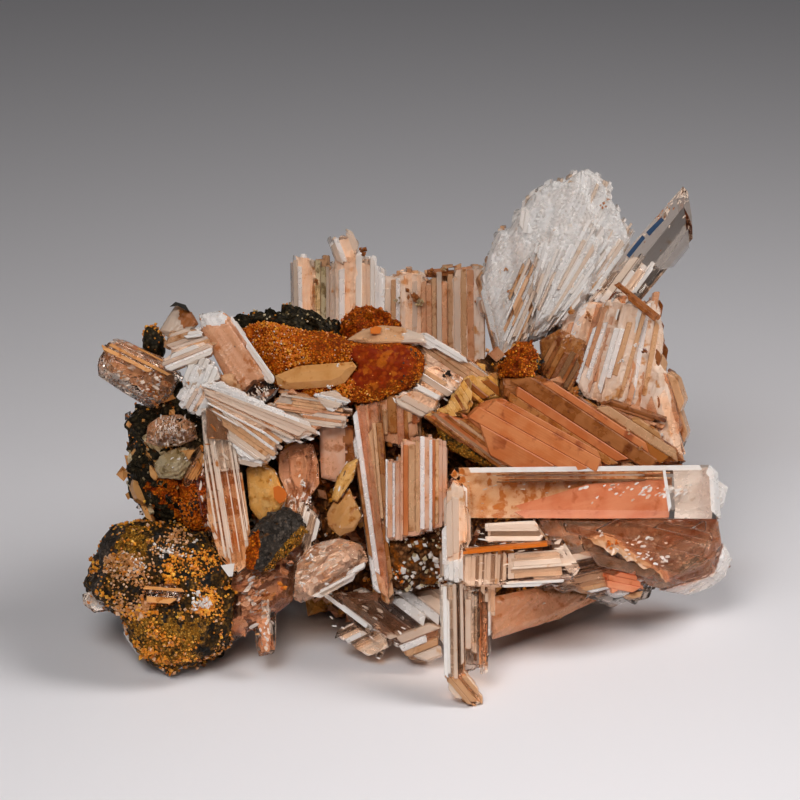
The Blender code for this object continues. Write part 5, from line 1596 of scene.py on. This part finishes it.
@dataclass(frozen=True)
class PrismGroup(Region):
    """The long prism, the tablets and the comb under it, and the smoky mass at the right."""

    long_prism: Crystals = Crystals(Slot.PEACH, (CLEAR, VEIL_AND_HIGHLIGHT, PHANTOM, OCHRE_PHANTOM, WHITE, FROST, HONEY, BROWN),
        Body(0, bevel=0.45, zones=(Zone("672,462 730,462 730,522 668,522", 5, blur=0.3),)), (
        Plate("512,505 548,495 584,484 664,479 668,513 560,515 524,514", 2.6, 0.5, (-0.32, 0), skin=2),
        Plate("456,471 662,471 666,516 456,516", 1.6, 0.5, (-0.32, 0), skin=3),
        Plate("662,470 665,470 671,506 668,512", 3, 0.2, (-0.32, 0), skin=4),
        Plate("672,472 712,470 712,517 674,516", -3, 0.5, (-0.32, 0), skin=5),
        # painted highlight: this thin white plate along the top face stands for its bright band of reflected light
        Plate("468,467 700,465 702,470 470,472", 6.2, 0.2, (-0.32, 0)),
        Spray("500,473 660,472 660,480 500,482", 0, 3.6, 0.3, (0.2, 0.5), (-0.32, 0), 1, 0.3, 6, 0.6,
            skins=(7, 3, 1)),
        Spray("460,494 575,497 575,505 460,512", 0, 4, 0.3, (0.2, 0.6), (-0.32, 0), 1, 0.3, 6, 0.7, 16, skins=(4, 1)),
        Flakes(60, (0.4, 1.6), 30, 60, skins=(1, 1, 4), towards=(700, 492), pull=0.85),
        Flakes(30, (0.4, 1.4), 0, 60, 0.3, skins=(1, 4), towards=(470, 490), pull=0.8),
    ))
    front_slivers: Crystals = Crystals(Slot.CLEAR, (CLEAR, FROST, SILK, WHITE, CORE),
        Body(-89, carve=0.3, groove=0.8, sink=0.4, skin=4), (
        Spray("444,490 452,478 465,485 470,530 464,574 442,578", -89, 16.4, 5.4, (0.5, 1.4), (0, 0), 3, 0.6, 2, 0.25,
            14, skins=(0, 1, 2, 0)),
        Spray("446,560 462,556 462,580 444,580", -88, 17, 2, (0.5, 1.2), layers=2, ragged=0.4, tilt=5, skins=(3, 1)),
    ))
    stepped_tablets: Crystals = Crystals(Slot.CLEAR, (CLEAR, VEIL_AND_HIGHLIGHT, WHITE, YELLOW, SILK), Body(0, bevel=0.3), (
        Plate("462,549 500,545 545,541 545,544 500,548 462,552", 19.6, 1.6, (-0.1, 0.1), skin=3),
        # painted reflection: this white plate across the lower half of the right tablet stands for the lamp's
        # reflection on it
        Plate("506,551 556,547 560,572 506,576", 16.4, 0.2, (-0.1, 0.12), skin=2),
        Plate("464,552 502,551 502,578 464,582", 15.2, 0.2, (-0.1, 0.12), 88, skin=4),
        Plate("486,526 530,523 540,538 486,541", 13.6, 0.2, (-0.1, 0.05), skin=4),
        # painted highlight: a thin white strip along the top edge of the upper tablet
        Plate("484,523 532,520 536,524 484,528", 16.2, 0.2, (-0.1, 0), skin=2),
        Spray("464,552 504,550 504,578 466,582", 88, 18.6, 0.8, (0.4, 0.9), (-0.1, 0.12), 1, 0.3, 0.5, 0.05, 8,
            skins=(4, 0)),
        Spray("496,578 572,572 568,580 500,585", 2, 18.4, 1.4, (0.4, 0.8), (-0.1, 0.1), 2, 0.3, 0.8, 0.1, 8,
            skins=(2, 0)),
        Spray("486,524 530,523 543,538 500,543 486,543", 0, 16.4, 0.4, (0.3, 1), (-0.1, 0), 1, 0.15, 2, 0.5, 6,
            skins=(0, 1)),
        Spray("508,552 562,549 574,566 560,574 508,576", 4, 16.7, 0.4, (0.3, 1.2), (-0.1, 0.1), 1, 0.15, 2, 0.5, 6,
            skins=(0, 0, 1)),
        Plate("552,548 562,540 577,564 566,570", 14, lean=(-0.1, 0.1)),
        Flakes(26, (0.6, 2), 0, 25, 0.2, skins=(1, 2)),
    ))
    smoky_block: Crystals = Crystals(Slot.AMBER, (SMOKE, BROWN, RUST, VEIL_AND_HIGHLIGHT, WHITE, ORANGE, BLACK, CLEAR, FAWN, RUSTY),
        Body(-10, carve=0.5, groove=3, mesh_mm=0.6), (
        Spray("565,524 716,524 716,556 656,580 585,556", -14, -2.2, 1.2, (1.5, 4), (-0.32, 0.15), 1, 0.6, 3, 0.5, 10,
            skins=(0, 7, 7)),
        Spray("650,540 718,530 716,572 690,584 655,578", 24, -6, 1.2, (1.5, 3.5), (-0.32, 0.15), 1, 0.6, 3, 0.5, 10,
            skins=(7, 0)),
        Flakes(90, (0.4, 1.6), 10, 50, skins=(1, 1, 2, 3)),
        Flakes(70, (0.4, 1.4), 0, 50, skins=(3, 4), towards=(690, 560), pull=0.7),
        Flakes(24, (0.5, 1.4), 20, skins=(4, 3), towards=(656, 536), pull=0.92),
        # painted glints: the white clusters at 656,534 and 600,534 stand for glints; the others are orange specks
        Dots(((608, 544, 1, 1.1, 5), (616, 542, 0.6, 0.9, 5), (656, 534, -5.2, 1, 4), (600, 534, 0.8, 0.8, 4))),
        Plate("679,571 682,566 696,557 700,560 685,572", -8, 0.9, (-0.3, 0), 30, skin=6),
    ), Body(-10, carve=0.5, groove=1.5, mesh_mm=0.8, sink=3.2, skin=8))
    pale_lobe: Crystals = Crystals(Slot.WHITE, (FROST, VEIL_AND_HIGHLIGHT, WHITE, BROWN), Body(40, carve=0.6, groove=1.6), (
        Flakes(70, (0.5, 1.8), 40, 60, skins=(1, 2, 1, 3)),
    ))
    right_foot_blades: Crystals = Crystals(Slot.CLEAR, (CLEAR, SILK, FAWN, WHITE, PHANTOM, FROST),
        Body(14, carve=0.4, sink=0.5), (
        Spray("535,583 560,560 600,548 640,556 660,580 645,601 590,597", 12, -1.6, 10, (0.5, 1.8), (-0.4, 0.1), 4,
            0.8, 3, 0.25, 18, skins=(0, 1, 0, 2, 5)),
        Spray("583,601 595,588 615,585 627,589 628,604 610,608", 25, -11.6, 20, (0.6, 1.6), (0, 0), 4, 0.8, 2, 0.2,
            18, skins=(3, 5, 0)),
        Spray("602,574 640,572 646,590 610,593", -12, -2.4, 4, (0.6, 1.4), (-0.3, 0), 2, 0.4, 1, 0.1, 8, skins=(4,)),
    ))
    brown_blade: Crystals = Crystals(Slot.AMBER, (BLUSH, RUSTY, VEIL_AND_HIGHLIGHT, FAWN), Body(18, carve=0.25), (
        Flakes(40, (0.5, 2), 18, 25, 0.3, skins=(1, 2, 3)),
    ))
    hanging_comb: Crystals = Crystals(Slot.WHITE, (CLEAR, FROST, SILK, WHITE, FAWN, CORE),
        Body(-90, carve=0.3, groove=0.8, sink=0.4), (
        Spray("440,580 462,580 463,650 461,677 446,676 441,620", -89, 16.8, 4.6, (0.6, 1.6), (0, 0), 3, 0.5, 0.8,
            0.06, 10, skins=(0, 1, 2, 0)),
        Spray("442,584 447,584 450,672 445,672", -89, 17.2, 1.2, (0.6, 0.9), layers=1, ragged=0.4, tilt=5,
            skins=(3,)),
        Spray("460,582 476,582 476,668 466,662 460,672", -90, 15.6, 4.4, (0.5, 1.3), (0, 0), 3, 0.7, 3, 0.2,
            skins=(0, 2, 0, 1)),
        Spray("474,583 489,586 488,664 480,668 474,650", -90, 14.9, 4.2, (0.4, 1.1), (0, 0), 3, 0.7, 4, 0.25,
            skins=(0, 1, 0, 4)),
        Spray("480,580 495,582 494,612 484,612", -90, 15, 3, (0.5, 1.1), (0, 0), 2, 0.5, 2, 0.2, skins=(0, 2)),
        Spray("446,672 464,668 474,682 484,700 480,705 464,700 450,688", -50, 16.2, 3.4, (0.5, 1.2), (0, 0), 3, 0.4,
            1, 0.1, skins=(4, 4, 2, 0)),
    ))


@dataclass(frozen=True)
class Middle(Region):
    """The columns, panes and clear lumps between the column and the prism, and what hangs below them."""

    grey_columns: Crystals = Crystals(Slot.CLEAR, (SMOKE, RUSTY, FAWN, AMBER, BLUSH, FROST),
        Body(-84, carve=0.3, groove=0.8, sink=0.4, skin=4), (
        Spray("353,402 366,400 372,470 388,540 394,592 388,602 377,590 368,545 358,470", -82, 9.2, 5.6, (0.6, 1.4),
            (0.1, -0.06), 3, 0.7, 3, 0.2, skins=(0, 1, 2, 5)),
        Spray("366,400 381,401 386,470 389,545 380,548 370,470", -85, 8.6, 4, (0.6, 1.3), (0.1, -0.06), 3, 0.6, 3,
            0.2, 10, skins=(4, 3, 1, 2)),
        Spray("368,397 405,396 420,414 421,436 403,450 370,440", -88, 7.4, 5.6, (0.8, 2), (0.1, 0.05), 3, 0.8, 3, 0.2,
            skins=(0, 1, 0, 2)),
        Flakes(16, (0.4, 1.2), -85, 40, 0.4, skins=(5,), towards=(385, 580), pull=0.8),
    ))
    salmon_comb: Crystals = Crystals(Slot.SALMON, (ROSE, SALMON, FAWN, FROST),
        Body(90, carve=0.3, groove=0.9, sink=0.4), (
        Spray("386,458 402,456 403,540 387,542", 90, 11.8, 5, (0.5, 1.1), (0, 0), 3, 0.5, 1, 0.06, 10,
            skins=(0, 2, 3)),
        Spray("401,438 421,437 421,536 402,538", 90, 13, 5.6, (0.7, 1.5), (0, 0), 3, 0.5, 0.9, 0.06, 8,
            skins=(0, 1, 0, 2)),
        Spray("420,435 432,434 432,531 420,533", 90, 13.8, 5.6, (0.6, 1.2), (0, 0), 3, 0.5, 0.9, 0.06, 8,
            skins=(0, 3, 1)),
        Spray("431,438 446,441 446,525 431,530", 90, 13, 5, (0.6, 1.2), (0, 0), 3, 0.5, 0.9, 0.06, 8),
    ))
    dark_rock: Rock = Rock(Slot.GOETHITE, (MATRIX, WHITE, ORANGE, OLIVE), crops=(
        Crop(160, (0.3, 0.9)), Crop(120, (0.3, 0.7), 3), Crop(60, (0.3, 0.6), 2, "390,560 404,556 402,585 390,585"),
    ))
    salmon_pane: Crystals = Crystals(Slot.SALMON, (ROSE, AMBER, BLACK),
        Body(90, carve=0.2, zones=(Zone("345,424 362,424 362,480 346,476", 1),)), (
        Flakes(10, (0.2, 0.5), 90, 20, skins=(2,)),
    ))
    peach_pane: Crystals = Crystals(Slot.PEACH, (CLEAR, VEIL_AND_HIGHLIGHT, BLUSH, WHITE, RUST, CORE),
        Body(86, carve=0.3, groove=1.8, ragged=0.4, mesh_mm=0.35), (
        Plate("292,448 306,448 306,466 292,466", 5, 0.5, angle=90, skin=2),
        Spray("300,500 312,500 323,521 314,545 304,558 298,530", 76, 8.4, 3, (0.4, 0.9), (0, 0.1), 3, 0.5, 1.6, 0.15,
            skins=(0, 1, 3)),
        Flakes(40, (0.6, 2), 70, 40, 0.3, skins=(1, 1, 3, 4)),
        # painted glints: both white clusters stand for glints
        Dots(((304, 485, 8.8, 0.7, 3), (310, 498, 8.8, 0.6, 3))),
    ), Body(86, carve=0.3, groove=1.5, mesh_mm=0.5, sink=2.4, skin=2))
    taper_crystal: Crystals = Crystals(Slot.CLEAR, (GOLDEN, BROWN, VEIL_AND_HIGHLIGHT), Body(60, carve=0.25), (
        Flakes(18, (0.5, 1.8), 60, 30, 0.3, skins=(1, 2)),
    ))
    rhomb_crystal: Crystals = Crystals(Slot.PEACH, (HONEY, VEIL_AND_HIGHLIGHT, RUST, BLUSH),
        Body(60, carve=0.25, groove=1.4, mesh_mm=0.35), (
        Flakes(16, (0.5, 1.4), 60, 40, 0.4),
        Flakes(22, (0.4, 1.2), 0, 50, 0.6, skins=(2, 3), towards=(338, 516), pull=0.7),
    ), Body(60, carve=0.3, mesh_mm=0.5, sink=2, skin=3))
    golden_leaf: Crystals = Crystals(Slot.AMBER, (GOLDEN, BROWN, VEIL_AND_HIGHLIGHT, ORANGE, RUST),
        Body(-60, carve=0.25, groove=1.6), (
        Flakes(24, (0.4, 1.4), -60, 40, 0.4, skins=(1, 2, 4)),
        Plate("274,487 279,485 285,488 288,494 285,501 280,503 275,497", 9.3, 0.8, skin=3),
    ))
    goethite_shard: Rock = Rock(Slot.GOETHITE, (SLATE, OCHRE_CRUST, LIMONITE, YELLOW, BLACK), 0.3,
        lumps=((2, 0.5), (0.7, 0.2)), facets=0.2, swell=0.1, zones=(
        Zone("262,572 282,546 304,522 312,530 300,552 276,574", 1, blur=0.5),
        Zone("240,572 246,540 260,528 262,545 256,568", 2, blur=0.4),
    ), crops=(Crop(110, (0.12, 0.3), 3, SHARD_RIM, 1.2), Crop(60, (0.12, 0.3), 4, SHARD_RIM, 1.2)))
    clear_mass: Crystals = Crystals(Slot.CLEAR, (CLEAR, VEIL_AND_HIGHLIGHT, WHITE, FAWN, ORANGE, CORE),
        Body(28, carve=0.5, groove=2), (
        Flakes(50, (0.6, 2.2), 28, 50, 0.3, skins=(1, 1, 2, 3)),
        Spray("300,602 330,585 356,566 366,560 362,572 330,592", 28, 9.2, 2.6, (0.5, 1.3), (0, 0.1), 2, 0.5, 2, 0.2,
            16),
        # painted glints: the three white clusters stand for glints; the one at 283,583 is an orange speck
        Dots(((311, 556, 9.6, 0.7, 2), (328, 582, 9.8, 0.6, 2), (302, 583, 9.8, 0.8, 2), (283, 583, 8, 1.2, 4))),
    ), Body(28, carve=0.5, groove=1.5, mesh_mm=0.5, sink=3.2, skin=5))
    hanging_rod: Crystals = Crystals(Slot.CLEAR, (CLEAR, VEIL_AND_HIGHLIGHT, WHITE, BLUSH, RUST),
        Body(-88, carve=0.35, groove=1.6, mesh_mm=0.4), (
        Flakes(110, (0.6, 2.4), 30, 60, skins=(1, 3, 3, 4), towards=(250, 592), pull=0.5),
        Spray("262,600 269,600 271,640 263,642", -89, 5.6, 1.6, (0.5, 0.9), layers=1, ragged=1.5, tilt=5,
            skins=(1, 2)),
        Flakes(22, (0.4, 1.2), -70, 50, skins=(1, 2), towards=(267, 648), pull=0.95),
    ), Body(40, carve=0.6, groove=1.5, mesh_mm=0.7, sink=3, skin=3))
    bottom_blades: Crystals = Crystals(Slot.CLEAR, (CLEAR, SILK, FROST, WHITE, FAWN, SMOKE),
        Body(-30, carve=0.4, groove=1.4, sink=0.5), (
        Spray("330,592 375,588 396,590 440,590 443,640 400,645 375,625", -38, 2, 10, (1.2, 3), (0, 0.2), 4, 0.9, 3,
            0.25, 14, skins=(0, 0, 2, 5, 1)),
        Spray("333,634 356,621 380,630 392,642 378,660 355,650", 26, 1, 3.6, (0.8, 1.8), (0.05, 0.1), 2, 0.5, 1.5,
            0.15, 10),
        Spray("383,637 440,624 442,655 420,662 408,657", 22, 2.2, 8, (0.8, 2.2), (0, 0.1), 3, 0.8, 2, 0.2,
            skins=(0, 1, 2, 4)),
        Spray("321,592 329,594 374,627 370,635", -37, 3.8, 2.4, (0.5, 0.9), layers=2, ragged=0.4, tilt=5,
            skins=(3, 0)),
        Flakes(30, (0.6, 2), -20, 40, 0.3, skins=(2,)),
    ))


@dataclass(frozen=True)
class Rear(Region):
    """The loose core of rock and the blades on its hidden side."""

    rear_blades_left: Crystals = Crystals(Slot.CLEAR, (CLEAR, VEIL_AND_HIGHLIGHT, SMOKE, RUST),
        Body(85, carve=0.4, groove=1.8, mesh_mm=0.8), (Flakes(60, (0.8, 3), 85, 50, 0.3, skins=(1, 1, 3)),))
    rear_blades_middle: Crystals = Crystals(Slot.PEACH, (BLUSH, VEIL_AND_HIGHLIGHT, RUST),
        Body(95, carve=0.5, groove=1.6, mesh_mm=0.8), (Flakes(40, (0.8, 3), 95, 50, 0.3, skins=(1, 2)),))
    rear_blades_right: Crystals = Crystals(Slot.AMBER, (SMOKE, VEIL_AND_HIGHLIGHT, BROWN, RUST),
        Body(100, carve=0.4, groove=1.8, mesh_mm=0.8), (Flakes(60, (0.8, 3), 100, 50, 0.3, skins=(1, 2, 3)),))
    matrix_core: Rock = Rock(Slot.MATRIX, (MATRIX, GOLD, TAN, WHITE, BLUSH, GOLDEN, RUSTY), 1,
        lumps=((9, 1.6), (3, 1), (1.2, 0.4)), facets=0.5, crops=(
        Crop(1400, (0.3, 0.8), clump=2.2), Crop(700, (0.3, 0.9), 2, clump=2.2), Crop(200, (0.4, 0.9), 3, clump=2),
        Crop(420, (0.9, 2.6), 4, clump=0.8), Crop(420, (0.9, 2.6), 5, clump=0.8), Crop(420, (0.9, 2.6), 6, clump=0.8),
    ))


@dataclass(frozen=True)
class Lamp:
    """A soft light: where it is and what it points at, in metres, its power in watts and its beam in degrees."""

    name: str
    spot: Place
    target: Place
    size: Point
    power: float
    spread: float
    shines: bool = True

    def build(self) -> None:
        """Hangs the lamp, which is seen as a reflection only if it shines."""
        lamp = bpy.data.lights.new(self.name, "AREA")
        lamp.shape = "RECTANGLE"
        lamp.size, lamp.size_y = self.size
        lamp.energy = self.power
        lamp.spread = math.radians(self.spread)
        made = link(self.name, lamp)
        made.visible_glossy = self.shines
        made.location = self.spot
        made.rotation_euler = (Vector(self.spot) - Vector(self.target)).to_track_quat("Z", "Y").to_euler()


@dataclass(frozen=True)
class Studio:
    """The floor, the lights and the camera."""

    floor_size: float = 12
    floor_colour: Colour = (0.8, 0.765, 0.775)
    floor_rough: float = 0.7
    air_colour: Colour = (0.92, 0.94, 1)
    air_strength: float = 0.06
    lens: float = 300
    sensor: float = 36
    frame_width: float = 0.16
    sight: float = 50
    lamps: tuple[Lamp, ...] = (
        Lamp("key", (0.542, -0.098, 0.659), (-0.039, -0.269, 0), (0.4, 0.4), 1.35, 88.5),
        Lamp("fill", (-0.12, -0.755, 0.7), (0.039, -0.126, 0), (0.4, 0.3), 0.42, 40.1, False),
        Lamp("sparkle", (-0.3, -0.5, 0.6), (0, -0.02, 0.03), (0.08, 0.3), 0.05, 60),
    )

    def build(self) -> bpy.types.Object:
        """Makes the floor, the lights and the photograph's view.

        Returns:
            The floor.
        """
        mesh = bpy.data.meshes.new("floor")
        half = self.floor_size / 2
        mesh.from_pydata([(-half, -half, 0), (half, -half, 0), (half, half, 0), (-half, half, 0)], [], [(0, 1, 2, 3)])
        for lamp in self.lamps:
            lamp.build()
        eye = bpy.data.cameras.new("camera")
        eye.lens, eye.sensor_width, eye.clip_end = self.lens, self.sensor, self.sight
        made = link("camera", eye)
        made.location = to_frame(np.zeros(3)) + AXES[2] * self.frame_width * self.lens / self.sensor
        made.rotation_euler = (math.pi / 2 - PITCH, 0, 0)
        bpy.context.scene.camera = made
        return link("floor", mesh)

    def dress(self, floor: bpy.types.Object) -> None:
        """Paints the floor and fills the room with faint light.

        Args:
            floor: the floor.
        """
        made = bpy.data.materials.new("pale_floor")
        made.use_nodes = True
        shader = made.node_tree.nodes["Principled BSDF"]
        shader.inputs["Base Color"].default_value = (*self.floor_colour, 1)
        shader.inputs["Roughness"].default_value = self.floor_rough
        floor.data.materials.append(made)
        world = bpy.data.worlds.new("room")
        world.use_nodes = True
        air = world.node_tree.nodes["Background"].inputs
        air["Color"].default_value = (*self.air_colour, 1)
        air["Strength"].default_value = self.air_strength
        bpy.context.scene.world = world
        bpy.context.scene.view_settings.view_transform = "Standard"


def main() -> None:
    """Builds the studio and every region."""
    for part in (Studio, UpperLeft, Nodule, OchreGroup, CombRidge, FanGroup, SlabGroup, PrismGroup, Middle, Rear):
        whole = part()
        whole.dress(whole.build())


if __name__ == "__main__":
    main()
